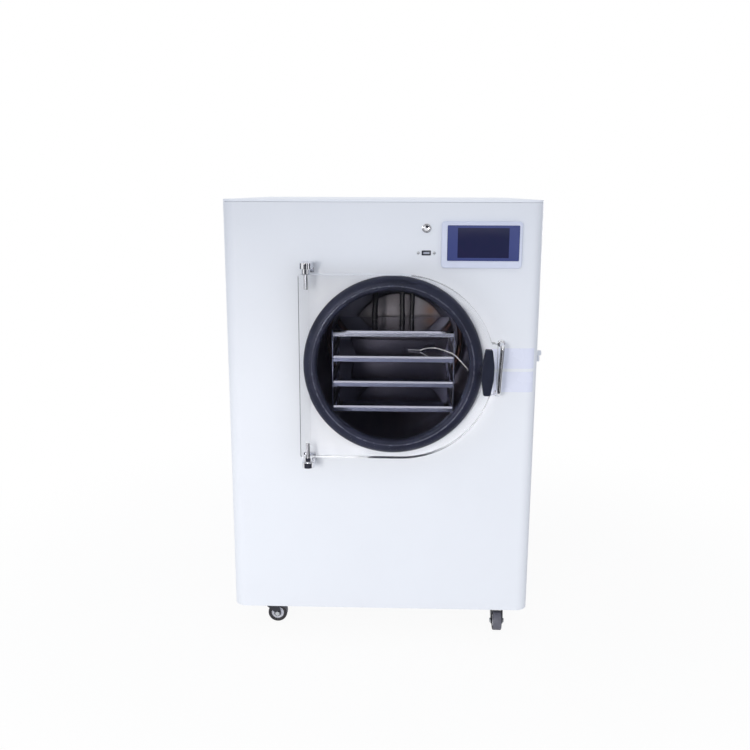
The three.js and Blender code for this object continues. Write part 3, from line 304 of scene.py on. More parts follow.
def rod(name, start, end, radius, sides=48, rim=0):
    start, end = Vector(start), Vector(end)
    deselectAll()
    bpy.ops.mesh.primitive_cylinder_add(
        vertices=sides,
        radius=radius,
        depth=(end - start).length,
        location=(start + end) / 2,
        rotation=(end - start).to_track_quat("Z", "Y").to_euler(),
    )
    piece = bpy.context.object
    piece.name = name
    bpy.ops.object.transform_apply(location=True, rotation=True, scale=True)
    if rim:
        easeSharp(piece, rim)
    return piece


def carve(piece, *cutters):
    for cutter in cutters:
        cut = piece.modifiers.new("cut", "BOOLEAN")
        cut.object = cutter
        cut.operation = "DIFFERENCE"
        cut.solver = "EXACT"
        pick(piece)
        bpy.ops.object.modifier_apply(modifier="cut")
        bpy.data.objects.remove(cutter)
    return piece


def joined(name, *parts):
    pick(*parts)
    bpy.ops.object.join()
    whole = bpy.context.object
    whole.name = name
    return whole


def copied(piece, name, move=(0, 0, 0), turn=None):
    # a copy with its own mesh, turned about the origin and then moved
    twin = piece.copy()
    twin.data = piece.data.copy()
    twin.name = name
    bpy.context.scene.collection.objects.link(twin)
    twin.data.transform(Matrix.Translation(move) @ (turn or Matrix.Identity(4)))
    return twin


# A copy of the frame's own piece: its loose faces merged, its edges eased
def refined(node, name, ease):
    pick(frame["nodes"][node])
    bpy.ops.object.duplicate()
    piece = bpy.context.object
    piece.name = name
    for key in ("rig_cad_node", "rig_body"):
        del piece[key]
    piece.parent = None
    bpy.ops.object.mode_set(mode="EDIT")
    bpy.ops.mesh.select_all(action="SELECT")
    bpy.ops.mesh.remove_doubles(threshold=1e-6)
    bpy.ops.mesh.dissolve_limited(angle_limit=math.radians(1))
    bpy.ops.object.mode_set(mode="OBJECT")
    eased = piece.modifiers.new("eased", "BEVEL")
    eased.width = ease
    eased.segments = 2
    eased.limit_method = "ANGLE"
    eased.angle_limit = math.radians(45)
    eased.use_clamp_overlap = True
    pick(piece)
    bpy.ops.object.modifier_apply(modifier="eased")
    return piece


# The last step of every piece: smooth shading, its finish and its body; the frame's node it stands
# for is hidden
def settle(piece, body, finish, node=None, smooth=40):
    pick(piece)
    bpy.ops.object.transform_apply(location=True, rotation=True, scale=True)
    bpy.ops.object.shade_smooth_by_angle(angle=math.radians(smooth))
    level = piece.modifiers.new("even", "WEIGHTED_NORMAL")
    level.keep_sharp = True
    bpy.ops.object.modifier_apply(modifier="even")
    if finish is not None:
        paint(piece, finish)
    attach(piece, body)
    if node:
        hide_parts(node)
    return piece


def shaderNode(tree, kind, inputs, **settings):
    # a shader node; each of its inputs takes a value or the socket that feeds it
    made = tree.nodes.new("ShaderNode" + kind)
    for key, value in settings.items():
        setattr(made, key, value)
    for key, value in inputs.items():
        if isinstance(value, bpy.types.NodeSocket):
            tree.links.new(value, made.inputs[key])
        else:
            made.inputs[key].default_value = value
    return made


# Finishes. Each look holds what a user would change: colour and how far it drifts,
# roughness from and to, and the grain and relief of the surface
def surface(name, look):
    finish = bpy.data.materials.new(name)
    finish.use_nodes = True
    tree = finish.node_tree
    shader = tree.nodes["Principled BSDF"]
    place = shaderNode(tree, "TexCoord", {}).outputs["Object"]

    def noise(scale, stretch=(1, 1, 1), detail=3.0, swirl=0.0):
        turn = shaderNode(tree, "Mapping", {"Scale": stretch, "Vector": place})
        return shaderNode(tree, "TexNoise", {
            "Scale": scale, "Detail": detail, "Distortion": swirl,
            "Vector": turn.outputs["Vector"],
        }).outputs["Fac"]

    def spread(source, low, high):
        return shaderNode(tree, "MapRange", {
            "From Min": 0.3, "From Max": 0.7, "To Min": low, "To Max": high, "Value": source,
        }).outputs["Result"]

    drift = look.get("drift", 0.04)
    second = look.get("second", [c * (1 + drift) for c in look["color"]])
    tint = shaderNode(tree, "Mix", {
        "A": (*[c * (1 - drift) for c in look["color"]], 1), "B": (*second, 1),
        "Factor": spread(noise(look.get("patch", 9), (1, 1, 1), 4, 0.4), 0, 1),
    }, data_type="RGBA")
    tree.links.new(tint.outputs["Result"], shader.inputs["Base Color"])

    stretch = look.get("stretch", (1, 1, 1))
    wiped = noise(look.get("wipe", 30), stretch, 4, 0.2)
    tree.links.new(spread(wiped, *look["rough"]), shader.inputs["Roughness"])
    bump = shaderNode(tree, "Bump", {
        "Strength": look.get("strength", 0.4), "Distance": look.get("relief", 0.00005),
        "Height": noise(look.get("grain", 900), stretch, 2),
    })
    tree.links.new(bump.outputs["Normal"], shader.inputs["Normal"])

    for socket, value in look.get("sockets", {}).items():
        shader.inputs[socket].default_value = value
    return finish


metal = {"Metallic": 1.0}
paintLook = {
    "color": (0.795, 0.820, 0.870), "drift": 0.010, "patch": 5,
    "rough": (0.36, 0.46), "wipe": 14, "grain": 700, "relief": 0.00006, "strength": 0.25,
    "sockets": {"Metallic": 0.0, "Specular IOR Level": 0.4},
}
bodyPaint = surface("body_paint_satin", paintLook)
# The lid takes a lighter copy of the body paint: painted light where light falls on its top and rim
lidPaintLit = surface("body_paint_lid_lit", {**paintLook, "color": (0.870, 0.895, 0.950)})
zincSteel = surface("zinc_steel_plate", {
    "color": (0.50, 0.52, 0.55), "drift": 0.12, "patch": 28,
    "rough": (0.32, 0.52), "wipe": 60, "grain": 1200, "relief": 0.00003,
    "sockets": metal,
})
stainless = surface("stainless_brushed", {
    "color": (0.50, 0.51, 0.56), "drift": 0.05, "patch": 12,
    "rough": (0.16, 0.30), "wipe": 40, "stretch": (0.04, 1, 1), "grain": 1800,
    "relief": 0.00002, "strength": 0.2, "sockets": metal,
})
shelfLook = {
    "color": (0.75, 0.79, 0.96), "drift": 0.05, "patch": 10,
    "rough": (0.24, 0.34), "wipe": 30, "stretch": (0.05, 1, 1), "grain": 1500,
    "relief": 0.00001, "strength": 0.15, "sockets": metal,
}
shelfSteel = surface("stainless_shelf", shelfLook)
# The same shelf steel made darker: painted shade for the lower shelves and the rack's fronts
shelfShaded = surface("stainless_shelf_shaded", {**shelfLook, "color": (0.43, 0.47, 0.69)})
shelfTop = surface("stainless_shelf_polished", {
    "color": (0.53, 0.53, 0.63), "drift": 0.05, "patch": 9,
    "rough": (0.05, 0.11), "wipe": 16, "grain": 300,
    "relief": 0.00001, "strength": 0.1, "sockets": metal,
})
probeSteel = surface("stainless_probe", {
    "color": (0.20, 0.20, 0.23), "drift": 0.1, "patch": 90,
    "rough": (0.3, 0.4), "wipe": 120, "grain": 2000, "relief": 0.00001,
    "sockets": metal,
})
chamberSteel = surface("stainless_chamber", {
    "color": (0.34, 0.34, 0.42), "drift": 0.25, "patch": 9,
    "rough": (0.30, 0.46), "wipe": 26, "stretch": (1, 0.08, 1), "grain": 900,
    "relief": 0.00003, "strength": 0.25, "sockets": metal,
})
baffleSteel = surface("stainless_baffle", {
    "color": (0.45, 0.43, 0.46), "drift": 0.30, "patch": 7,
    "rough": (0.26, 0.42), "wipe": 12, "grain": 600,
    "relief": 0.00006, "strength": 0.3, "sockets": metal,
})


def tinted(finish, factor, color):
    # as far as the factor goes, the colour gives way to another one
    tree = finish.node_tree
    base = tree.nodes["Principled BSDF"].inputs["Base Color"]
    over = shaderNode(tree, "Mix", {
        "A": base.links[0].from_socket, "B": (*color, 1), "Factor": factor,
    }, data_type="RGBA")
    tree.links.new(over.outputs["Result"], base)


# Heat tint: a straw-brown bloom in the upper right of the plate
heatTint = {"spot": (0.080, 0.262, 0.070), "reach": 0.036, "color": (0.33, 0.20, 0.15)}
tree = baffleSteel.node_tree
scale = 1 / heatTint["reach"]
spotX, spotY, spotZ = heatTint["spot"]
centred = shaderNode(tree, "Mapping", {
    "Scale": (scale, scale, scale),
    "Location": (-(axisX + spotX) * scale, -(front + spotY) * scale, -(axisZ + spotZ) * scale),
    "Vector": shaderNode(tree, "TexCoord", {}).outputs["Object"],
})
bloom = shaderNode(
    tree, "TexGradient", {"Vector": centred.outputs["Vector"]}, gradient_type="QUADRATIC_SPHERE"
)
tinted(baffleSteel, bloom.outputs["Fac"], heatTint["color"])


def shadeAlong(finish, axis, unshadedAt, shadedAt, color):
    # along an axis, from the chamber's middle, the colour gives way to a darker one: painted shade
    tree = finish.node_tree
    place = shaderNode(tree, "TexCoord", {}).outputs["Object"]
    along = shaderNode(tree, "SeparateXYZ", {"Vector": place})
    middle = {"X": axisX, "Z": axisZ}[axis]
    low, high = sorted((unshadedAt, shadedAt))
    ranged = shaderNode(tree, "MapRange", {
        "From Min": middle + low, "From Max": middle + high,
        "To Min": float(low == shadedAt), "To Max": float(high == shadedAt),
        "Value": along.outputs[axis],
    }, interpolation_type="SMOOTHSTEP")
    tinted(finish, ranged.outputs["Result"], color)


# Painted shade: the plate is darker left of its middle and below the first shelf, where the shelves
# shade it, and the drum is darker on its left
shadeAlong(baffleSteel, "X", 0.060, 0.032, (0.160, 0.150, 0.162))
shadeAlong(baffleSteel, "Z", 0.056, 0.036, (0.095, 0.092, 0.112))
shadeAlong(chamberSteel, "X", 0.070, 0.000, (0.185, 0.185, 0.235))
rackSteel = surface("stainless_rack", {
    "color": (0.17, 0.17, 0.20), "drift": 0.10, "patch": 14,
    "rough": (0.28, 0.42), "wipe": 40, "stretch": (1, 0.05, 1), "grain": 1500,
    "relief": 0.00002, "strength": 0.2, "sockets": metal,
})
chrome = surface("chrome_polished", {
    "color": (0.74, 0.75, 0.79), "drift": 0.04, "patch": 60,
    "rough": (0.05, 0.13), "wipe": 120, "grain": 2200, "relief": 0.00001, "strength": 0.15,
    "sockets": metal,
})
pinSteel = surface("pin_steel_satin", {
    "color": (0.80, 0.81, 0.87), "drift": 0.04, "patch": 60,
    "rough": (0.34, 0.48), "wipe": 120, "grain": 2000, "relief": 0.00001, "strength": 0.15,
    "sockets": metal,
})
sealRubber = surface("seal_rubber_moulded", {
    "color": (0.015, 0.017, 0.035), "drift": 0.25, "patch": 22,
    "rough": (0.34, 0.50), "wipe": 45, "grain": 1500, "relief": 0.00005, "strength": 0.35,
    "sockets": {"Specular IOR Level": 0.33, "Specular Tint": (0.72, 0.78, 1.0, 1)},
})
# The bead's rubber: glossier where the door burnishes it, and lighter in colour as a painted
# highlight
sealHighlight = surface("seal_rubber_bead_highlight", {
    "color": (0.070, 0.075, 0.115), "drift": 0.2, "patch": 30,
    "rough": (0.20, 0.34), "wipe": 45, "grain": 1500, "relief": 0.00002, "strength": 0.3,
    "sockets": {"Specular IOR Level": 0.8, "Specular Tint": (0.82, 0.86, 1.0, 1)},
})
hoseRubber = surface("hose_rubber_black", {
    "color": (0.010, 0.010, 0.014), "drift": 0.3, "patch": 40,
    "rough": (0.38, 0.55), "wipe": 80, "grain": 1600, "relief": 0.00005,
})
wheelRubber = surface("wheel_rubber_black", {
    "color": (0.012, 0.012, 0.018), "drift": 0.35, "second": (0.026, 0.025, 0.030), "patch": 60,
    "rough": (0.5, 0.75), "wipe": 90, "grain": 1300, "relief": 0.0001, "strength": 0.5,
})
treadRubber = surface("wheel_tread_grey", {
    "color": (0.125, 0.125, 0.155), "drift": 0.15, "patch": 60,
    "rough": (0.5, 0.7), "wipe": 90, "grain": 1300, "relief": 0.0001, "strength": 0.5,
})
darkSteel = surface("fork_steel_black", {
    "color": (0.030, 0.031, 0.040), "drift": 0.2, "patch": 40,
    "rough": (0.28, 0.42), "wipe": 70, "grain": 1200, "relief": 0.00004,
    "sockets": {"Metallic": 0.35},
})
foam = surface("foam_closed_cell", {
    "color": (0.020, 0.021, 0.024), "drift": 0.3, "patch": 90,
    "rough": (0.8, 0.95), "grain": 420, "relief": 0.0008, "strength": 0.6,
})
# Copper made far darker than bare copper: painted shade for the coil behind the baffle
copperShaded = surface("copper_tube_painted_shade", {
    "color": (0.13, 0.066, 0.048), "drift": 0.1, "second": (0.08, 0.042, 0.034), "patch": 24,
    "rough": (0.34, 0.5), "wipe": 60, "grain": 900, "relief": 0.00003,
    "sockets": metal,
})
blackPlastic = surface("black_plastic_grained", {
    "color": (0.010, 0.012, 0.026), "drift": 0.15, "patch": 50,
    "rough": (0.40, 0.52), "wipe": 90, "grain": 2000, "relief": 0.00006, "strength": 0.5,
    "sockets": {"Specular IOR Level": 0.35, "Specular Tint": (0.75, 0.80, 1.0, 1)},
})
greyPlastic = surface("grey_plastic_grained", {
    "color": (0.675, 0.715, 0.855), "drift": 0.02, "patch": 30,
    "rough": (0.34, 0.44), "wipe": 60, "grain": 2200, "relief": 0.00004, "strength": 0.4,
})
hubPlastic = surface("hub_plastic_light", {
    "color": (0.60, 0.61, 0.68), "drift": 0.08, "patch": 60,
    "rough": (0.35, 0.5), "wipe": 60, "grain": 1800, "relief": 0.00005,
})
stickerFilm = surface("sticker_film_blank", {
    "color": (0.745, 0.775, 0.905), "drift": 0.01, "patch": 20,
    "rough": (0.22, 0.30), "wipe": 40, "grain": 1200, "relief": 0.00001, "strength": 0.2,
})
overlayFilm = surface("screen_overlay_violet", {
    "color": (0.060, 0.076, 0.222), "drift": 0.05, "patch": 12,
    "rough": (0.10, 0.16), "wipe": 40, "grain": 1500, "relief": 0.00001, "strength": 0.1,
    "sockets": {"Specular IOR Level": 0.3},
})
displayPanel = surface("screen_display_dark", {
    "color": (0.019, 0.025, 0.070), "drift": 0.1, "second": (0.024, 0.022, 0.066), "patch": 30,
    "rough": (0.06, 0.10), "wipe": 40, "grain": 1500, "relief": 0.00001, "strength": 0.05,
    "sockets": {"Specular IOR Level": 0.3},
})
# The door's top edge: matt as it was sawn, and pale as painted light in place of the dark line a
# clear edge shows
sawnEdgeLit = surface("door_edge_sawn_painted_light", {
    "color": (0.82, 0.84, 0.89), "drift": 0.03, "patch": 30,
    "rough": (0.45, 0.65), "wipe": 60, "grain": 1400, "relief": 0.00004,
})
# A dark colour on the door's hinge edge: painted shade
edgeShade = surface("door_edge_painted_shade", {
    "color": (0.040, 0.042, 0.060), "drift": 0.2, "patch": 60,
    "rough": (0.4, 0.6), "wipe": 90, "grain": 1600, "relief": 0.00003,
})


# Clear door: lamps shine through it, the eye sees plain clear plastic
clearPlastic = surface("clear_plastic_cast", {
    "color": (0.985, 0.990, 1.0), "drift": 0.004, "patch": 6,
    "rough": (0.0, 0.012), "wipe": 18, "grain": 60, "relief": 0.000002, "strength": 0.05,
    "sockets": {"Transmission Weight": 1.0, "IOR": 1.49},
})
tree = clearPlastic.node_tree
rays = shaderNode(tree, "LightPath", {})
through = shaderNode(tree, "BsdfTransparent", {"Color": (0.985, 0.985, 1.0, 1)})
either = shaderNode(tree, "MixShader", {
    "Fac": rays.outputs["Is Shadow Ray"],
    1: tree.nodes["Principled BSDF"].outputs["BSDF"],
    2: through.outputs["BSDF"],
})
tree.links.new(either.outputs["Shader"], tree.nodes["Material Output"].inputs["Surface"])


# Braid: two sets of crossed strands, read along the lead's own map
def braided(name, look):
    finish = surface(name, look)
    tree = finish.node_tree
    along = shaderNode(tree, "TexCoord", {}).outputs["UV"]
    heights = {}
    for number, lean in enumerate((look["lean"], -look["lean"])):
        turn = shaderNode(tree, "Mapping", {
            "Scale": look["weave"], "Rotation": (0, 0, math.radians(lean)), "Vector": along,
        })
        strand = shaderNode(tree, "TexWave", {"Scale": 1.0, "Vector": turn.outputs["Vector"]})
        heights[number] = strand.outputs["Fac"]
    over = shaderNode(tree, "Math", heights, operation="MAXIMUM")
    bump = next(n for n in tree.nodes if n.bl_idname == "ShaderNodeBump")
    tree.links.new(over.outputs[0], bump.inputs["Height"])
    return finish


braid = braided("braid_tinned", {
    "color": (0.92, 0.92, 0.96), "drift": 0.08, "patch": 200,
    "rough": (0.35, 0.5), "wipe": 300, "relief": 0.0002, "strength": 0.9,
    "weave": (60, 6, 1), "lean": 40, "sockets": {"Metallic": 0.1},
})
leadPiece.data.materials.append(braid)
print("finishes done")


def inChamber(x, y, z):
    # sizes about the chamber's axis, from the panel's front plane back
    return Vector((axisX + x, front + y, axisZ + z))


def bend(x, y, size, start, sweep=90, steps=16):
    angles = [math.radians(start + sweep * k / steps) for k in range(steps + 1)]
    return [(x + size * math.cos(a), y + size * math.sin(a)) for a in angles]


# Cabinet skin. The front line runs from the left flank round both corners to the right one
cabinet = {
    "corner": 0.024, "sheet": 0.0015, "ease": 0.0004, "coverSkin": 0.0018, "coverRim": 0.0155,
    "coverBack": 0.005,
}


def frontLine(inset, back):
    left, right = panelLow.x + inset, panelHigh.x - inset
    size = cabinet["corner"] - inset
    near = front + inset + size
    return [
        (left, back),
        *bend(left + size, near, size, 180),
        *bend(right - size, near, size, 270),
        (right, back),
    ]


def raised(plan, z):
    return [(x, y, z) for x, y in plan]


panelHoles = {"bore": 0.1676, "button": 0.0083, "screw": 0.0019, "slack": 0.0003}
plan = frontLine(0, panelHigh.y) + frontLine(cabinet["sheet"], panelHigh.y)[::-1]
panelPiece = slab("front_panel_skin", raised(plan, panelLow.z), (0, 0, panelHigh.z - panelLow.z))
buttonLow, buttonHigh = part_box("power_button_ring")
buttonX, _, buttonZ = midway("power_button_ring")
housingLow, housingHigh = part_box("screen_housing")
glassLow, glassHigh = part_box("screen_glass")
screenX, _, screenZ = midway("screen_housing")
usbX, _, usbZ = midway("usb_port")
usb = {"width": 0.0164, "height": 0.0084, "slot": (0.0124, 0.0048), "pitch": 0.0298, "head": 0.0027}
screen = {"body": (0.139, 0.076), "corner": 0.006}


def hole(x, z, radius):
    return rod("hole", (x, front - 0.01, z), (x, front + 0.01, z), radius, 64)


def window(x, z, width, height, corner=0.0):
    return block(
        "hole",
        (x - width / 2, front - 0.01, z - height / 2),
        (x + width / 2, front + 0.01, z + height / 2),
        corner,
        0,
    )


slack = 2 * panelHoles["slack"]
carve(
    panelPiece,
    rod("hole", inChamber(0, -0.01, 0), inChamber(0, 0.01, 0), panelHoles["bore"], 128),
    window(screenX, screenZ, screen["body"][0] + slack, screen["body"][1] + slack, 0.003),
    hole(buttonX, buttonZ, panelHoles["button"]),
    window(usbX, usbZ, usb["width"] + slack, usb["height"] + slack),
    hole(usbX - usb["pitch"] / 2, usbZ, panelHoles["screw"]),
    hole(usbX + usb["pitch"] / 2, usbZ, panelHoles["screw"]),
)
easeSharp(panelPiece, cabinet["ease"])
settle(panelPiece, "cabinet", bodyPaint, "front_panel")

coverLow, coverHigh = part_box("top_cover")
rim, size = cabinet["coverRim"], cabinet["coverBack"]
coverPlan = [
    *frontLine(0, coverHigh.y - size)[1:-1],
    *bend(coverHigh.x - size, coverHigh.y - size, size, 0, steps=6),
    *bend(coverLow.x + size, coverHigh.y - size, size, 90, steps=6),
]
coverPiece = slab(
    "top_cover_skin", raised(coverPlan, coverLow.z), (0, 0, coverHigh.z - coverLow.z)
)
hollow = slab(
    "hollow",
    raised(frontLine(rim, coverHigh.y - rim), coverLow.z - 0.01),
    (0, 0, coverHigh.z - cabinet["coverSkin"] - coverLow.z + 0.01),
)
carve(coverPiece, hollow)
easeSharp(coverPiece, 0.0009, 3)
settle(coverPiece, "cabinet", lidPaintLit, "top_cover")

panLow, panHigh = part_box("base_pan")
pan = {"inset": 0.0018, "floor": 0.0025}
panPiece = slab(
    "base_pan_tray",
    raised(frontLine(pan["inset"], panHigh.y), panLow.z),
    (0, 0, panHigh.z - panLow.z),
)
hollow = slab(
    "hollow",
    raised(
        frontLine(pan["inset"] + cabinet["sheet"], panHigh.y - cabinet["sheet"]),
        panLow.z + pan["floor"],
    ),
    (0, 0, 0.1),
)
carve(panPiece, hollow)
easeSharp(panPiece, cabinet["ease"])
settle(panPiece, "cabinet", bodyPaint, "base_pan")

for side in ("left", "right"):
    skin = refined("side_panel_" + side, "side_panel_%s_skin" % side, cabinet["ease"])
    settle(skin, "cabinet", bodyPaint, "side_panel_" + side, smooth=48)
rearSkin = refined("rear_panel", "rear_panel_skin", cabinet["ease"])
settle(rearSkin, "cabinet", bodyPaint, "rear_panel")
print("cabinet skin done")


# Two blank films beside the latch, wrapped round the panel's corner
films = {
    "left": 0.18575, "right": 0.27925, "film": 0.00016, "bite": 0.0001,
    "rows": {"upper": (0.5660, 0.6056), "lower": (0.5198, 0.5600)},
}
cornerX = panelHigh.x - cabinet["corner"]
lastAngle = math.degrees(math.asin((films["right"] - cornerX) / cabinet["corner"]))


def filmLine(offset):
    size = cabinet["corner"] + offset
    wrap = bend(cornerX, front + cabinet["corner"], size, 270, lastAngle, 8)
    return [(films["left"], front - offset), *wrap]


for name, (low, high) in films["rows"].items():
    plan = filmLine(films["film"]) + filmLine(-films["bite"])[::-1]
    film = slab("blank_film_" + name, raised(plan, low), (0, 0, high - low))
    settle(film, "cabinet", stickerFilm)


# Touch screen: a round-edged frame with a step and a pocket, and the glass with its display
frameStep = {"rim": 0.0016, "lip": 0.0011, "lipDepth": 0.0007}
housing = block(
    "screen_frame",
    (housingLow.x, housingLow.y, housingLow.z),
    (housingHigh.x, front - 0.0003, housingHigh.z),
    screen["corner"],
    0,
)
rounded(housing, "FACE", lambda at, out: out.y < -0.99, frameStep["rim"], 4)
body = block(
    "screen_body",
    (screenX - screen["body"][0] / 2, front - 0.002, screenZ - screen["body"][1] / 2),
    (screenX + screen["body"][0] / 2, housingHigh.y, screenZ + screen["body"][1] / 2),
    0.0027,
)
pocket = block(
    "pocket",
    (glassLow.x - 0.0003, housingLow.y - 0.01, glassLow.z - 0.0003),
    (glassHigh.x + 0.0003, glassHigh.y + 0.0003, glassHigh.z + 0.0003),
    0.002,
    0,
)
carve(housing, pocket)
choose(housing, "FACE", lambda at, out: out.y < -0.99 and at.y < housingLow.y + 0.0002)
bpy.ops.mesh.inset(thickness=frameStep["lip"], depth=0)
bpy.ops.transform.translate(value=(0, frameStep["lipDepth"], 0))
bpy.ops.object.mode_set(mode="OBJECT")
easeSharp(housing, 0.00025)
housing = joined("screen_frame", housing, body)
settle(housing, "cabinet", greyPlastic, "screen_housing")

glass = {"display": (0.095, 0.055), "lift": 0.0006, "proud": 0.00006}
pane = block("screen_pane", glassLow, glassHigh, 0.0017, 0.0002)
x, _, z = midway("screen_glass")
z += glass["lift"]
w, h = glass["display"][0] / 2, glass["display"][1] / 2
display = block(
    "screen_display",
    (x - w, glassLow.y - glass["proud"], z - h),
    (x + w, glassLow.y + 0.0004, z + h),
    0.0006,
    0.00004,
)
pane = joined("screen_pane", paint(pane, overlayFilm), paint(display, displayPanel))
settle(pane, "cabinet", None, "screen_glass")

# Power button: a chrome cup and its steel cap
button = {"rim": 0.009, "bore": 0.0065, "body": 0.008, "cap": 0.0062, "dish": 0.0007}
proud, deep = buttonLow.y - front, buttonHigh.y - front
lip = [
    (0.0073 + 0.0017 * math.sin(a), proud + 0.0013 * (1 - math.cos(a)))
    for a in (0, 0.25, 0.5, 0.75, 1.0, 1.25, 1.5)
]
cup = turned(
    "power_button_cup",
    [
        (0, 0.008), (button["bore"], 0.008), (button["bore"], proud + 0.0004),
        (button["bore"] + 0.0002, proud + 0.0001), *lip, (button["rim"], -0.0003),
        (button["body"], -0.0003), (button["body"], deep), (0, deep),
    ],
    (buttonX, front, buttonZ),
    steps=64,
)
settle(cup, "cabinet", chrome, "power_button_ring")
capLow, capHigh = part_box("power_button_cap")
top, foot = capLow.y - front, capHigh.y - front
cap = turned(
    "power_button_face",
    [
        (0, top + button["dish"]), (0.002, top + 0.0006), (0.0042, top + 0.0003),
        (0.0052, top), (0.0057, top + 0.0001), (0.0061, top + 0.0004),
        (button["cap"], top + 0.0009), (button["cap"], foot), (0, foot),
    ],
    (buttonX, front, buttonZ),
    steps=64,
)
settle(cap, "power_button", chrome, "power_button_cap")

# USB socket: the black body, a steel shell round its slot and the tongue inside
socket = refined("usb_port", "usb_body", 0.0002)
w, h = usb["slot"][0] / 2, usb["slot"][1] / 2
settle(socket, "cabinet", blackPlastic, "usb_port")
shell = block(
    "usb_shell",
    (usbX - w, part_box("usb_port")[0].y - 0.0001, usbZ - h),
    (usbX + w, front + 0.009, usbZ + h),
    0.0004,
    0,
)
room = block(
    "room",
    (usbX - w + 0.0003, front - 0.01, usbZ - h + 0.0003),
    (usbX + w - 0.0003, front + 0.0085, usbZ + h - 0.0003),
    0.0003,
    0,
)
carve(shell, room)
easeSharp(shell, 0.00008)
settle(shell, "cabinet", zincSteel)
tongue = block(
    "usb_tongue",
    (usbX - w + 0.0011, front - 0.0003, usbZ - 0.0010),
    (usbX + w - 0.0011, front + 0.0087, usbZ + 0.0008),
    0.0003,
    0.0001,
)
settle(tongue, "cabinet", greyPlastic)
for side, shift in (("left", -1), ("right", 1)):
    x = usbX + shift * usb["pitch"] / 2
    head = usb["head"]
    screw = turned(
        "usb_fixing_" + side,
        [
            (0, -0.0018), (0.0010, -0.00176), (0.0019, -0.00145), (head - 0.0002, -0.0009),
            (head, -0.0006), (head, -0.0003), (0.0016, -0.0003), (0.0016, 0.0063), (0, 0.0063),
        ],
        (x, front, usbZ),
        steps=32,
    )
    slots = [
        block("cut", (x - a, front - 0.003, usbZ - b), (x + a, front - 0.0012, usbZ + b), 0, 0)
        for a, b in ((0.0014, 0.0003), (0.0003, 0.0014))
    ]
    carve(screw, *slots)
    settle(screw, "cabinet", zincSteel, "usb_screw_" + side)
print("screen, button and socket done")


# Chamber: a round drum with a flange in front and a rounded corner at its back plate
drum = {
    "bore": 0.165, "outer": 0.167, "flange": 0.1695, "flangeFront": -0.0053,
    "depth": 0.330, "back": 0.335, "corner": 0.010, "outlet": 0.0125, "steps": 128,
}
innerCorner = bend(
    drum["bore"] - drum["corner"], drum["depth"] - drum["corner"], drum["corner"], 0, steps=8
)
drumPiece = turned(
    "chamber_drum",
    [
        (drum["outlet"], drum["back"]), (drum["outer"], drum["back"]), (drum["outer"], -0.0003),
        (drum["flange"], -0.0003), (drum["flange"], drum["flangeFront"] + 0.0004),
        (drum["flange"] - 0.0004, drum["flangeFront"]),
        (drum["bore"] + 0.0006, drum["flangeFront"]),
        (drum["bore"], drum["flangeFront"] + 0.0006), *innerCorner,
        (drum["outlet"], drum["depth"]), (drum["outlet"], drum["back"]),
    ],
    inChamber(0, 0, 0),
    steps=drum["steps"],
)
settle(drumPiece, "cabinet", chamberSteel, "chamber")

# Seal: a round shoulder outside, a crest, and a rolled edge inside
seal = {
    "outer": 0.1714, "crest": 0.155, "crestInner": 0.149, "inner": 0.144, "proud": -0.022,
    "beadFrom": 0.1547, "beadTo": 0.1521, "beadRise": 0.0007,
}
land = seal["proud"] + seal["beadRise"]
shoulder = [
    (
        seal["crest"] + (seal["outer"] - seal["crest"]) * math.cos(a),
        -0.006 + (land + 0.006) * math.sin(a),
    )
    for a in [math.pi / 2 * k / 14 for k in range(15)]
]
beadMiddle = (seal["beadFrom"] + seal["beadTo"]) / 2
beadHalf = (seal["beadFrom"] - seal["beadTo"]) / 2
bead = [
    (beadMiddle + beadHalf * math.cos(a), land - seal["beadRise"] * math.sin(a))
    for a in [math.pi * k / 8 for k in range(9)]
]
rolled = [
    (
        seal["crestInner"] - (seal["crestInner"] - seal["inner"]) * math.sin(a),
        land + 0.0063 * (1 - math.cos(a)),
    )
    for a in [math.pi / 2 * k / 10 for k in range(11)]
]
ring = turned(
    "chamber_seal_ring",
    [
        (0.1698, -0.0006), (seal["outer"], -0.0006), *shoulder, *bead, *rolled,
        (seal["inner"], -0.0056), (0.1698, -0.0056), (0.1698, -0.0006),
    ],
    inChamber(0, 0, 0),
    steps=160,
)


def onBead(at, out):
    # the narrow bead that the door presses on, burnished by it, its lighter colour a painted
    # highlight ring
    away = Vector((at.x - axisX, at.z - axisZ)).length
    return seal["beadTo"] - 0.0001 < away < seal["beadFrom"] + 0.0001 and at.y - front < land


paint(ring, sealRubber, (sealHighlight, onBead))
settle(ring, "cabinet", None, "chamber_seal", smooth=50)

# Copper coil behind the baffle: two turns, both ends through the back plate
coil = {"radius": 0.148, "tube": 0.005, "turns": 2, "pitch": 0.015, "perTurn": 48, "first": 0.283}
steps = coil["turns"] * coil["perTurn"]
loop = [
    (
        coil["radius"] * math.cos(2 * math.pi * (k / coil["perTurn"] - 0.25)),
        coil["first"] + coil["pitch"] * k / coil["perTurn"],
        coil["radius"] * math.sin(2 * math.pi * (k / coil["perTurn"] - 0.25)),
    )
    for k in range(0, steps + 1, 4)
]
first, last = Vector(loop[0]), Vector(loop[-1])
inward = Vector((first.x, 0, first.z)).normalized() * (coil["radius"] - 0.015)
route = [
    (inward.x - 0.022, drum["depth"] - 0.0003, inward.z + 0.002),
    (inward.x - 0.022, coil["first"] + 0.014, inward.z + 0.002),
    (inward.x - 0.016, coil["first"] + 0.001, inward.z),
    *loop,
    (last.x + 0.0138, last.y + 0.004, last.z + 0.0012),
    (last.x + 0.0138, drum["depth"] - 0.0003, last.z + 0.0012),
]
coilPiece = piped(
    "evaporator_tube", [inChamber(*spot) for spot in smoothRoute(route, 6)], coil["tube"], 5
)
settle(coilPiece, "cabinet", copperShaded, "evaporator_coil")

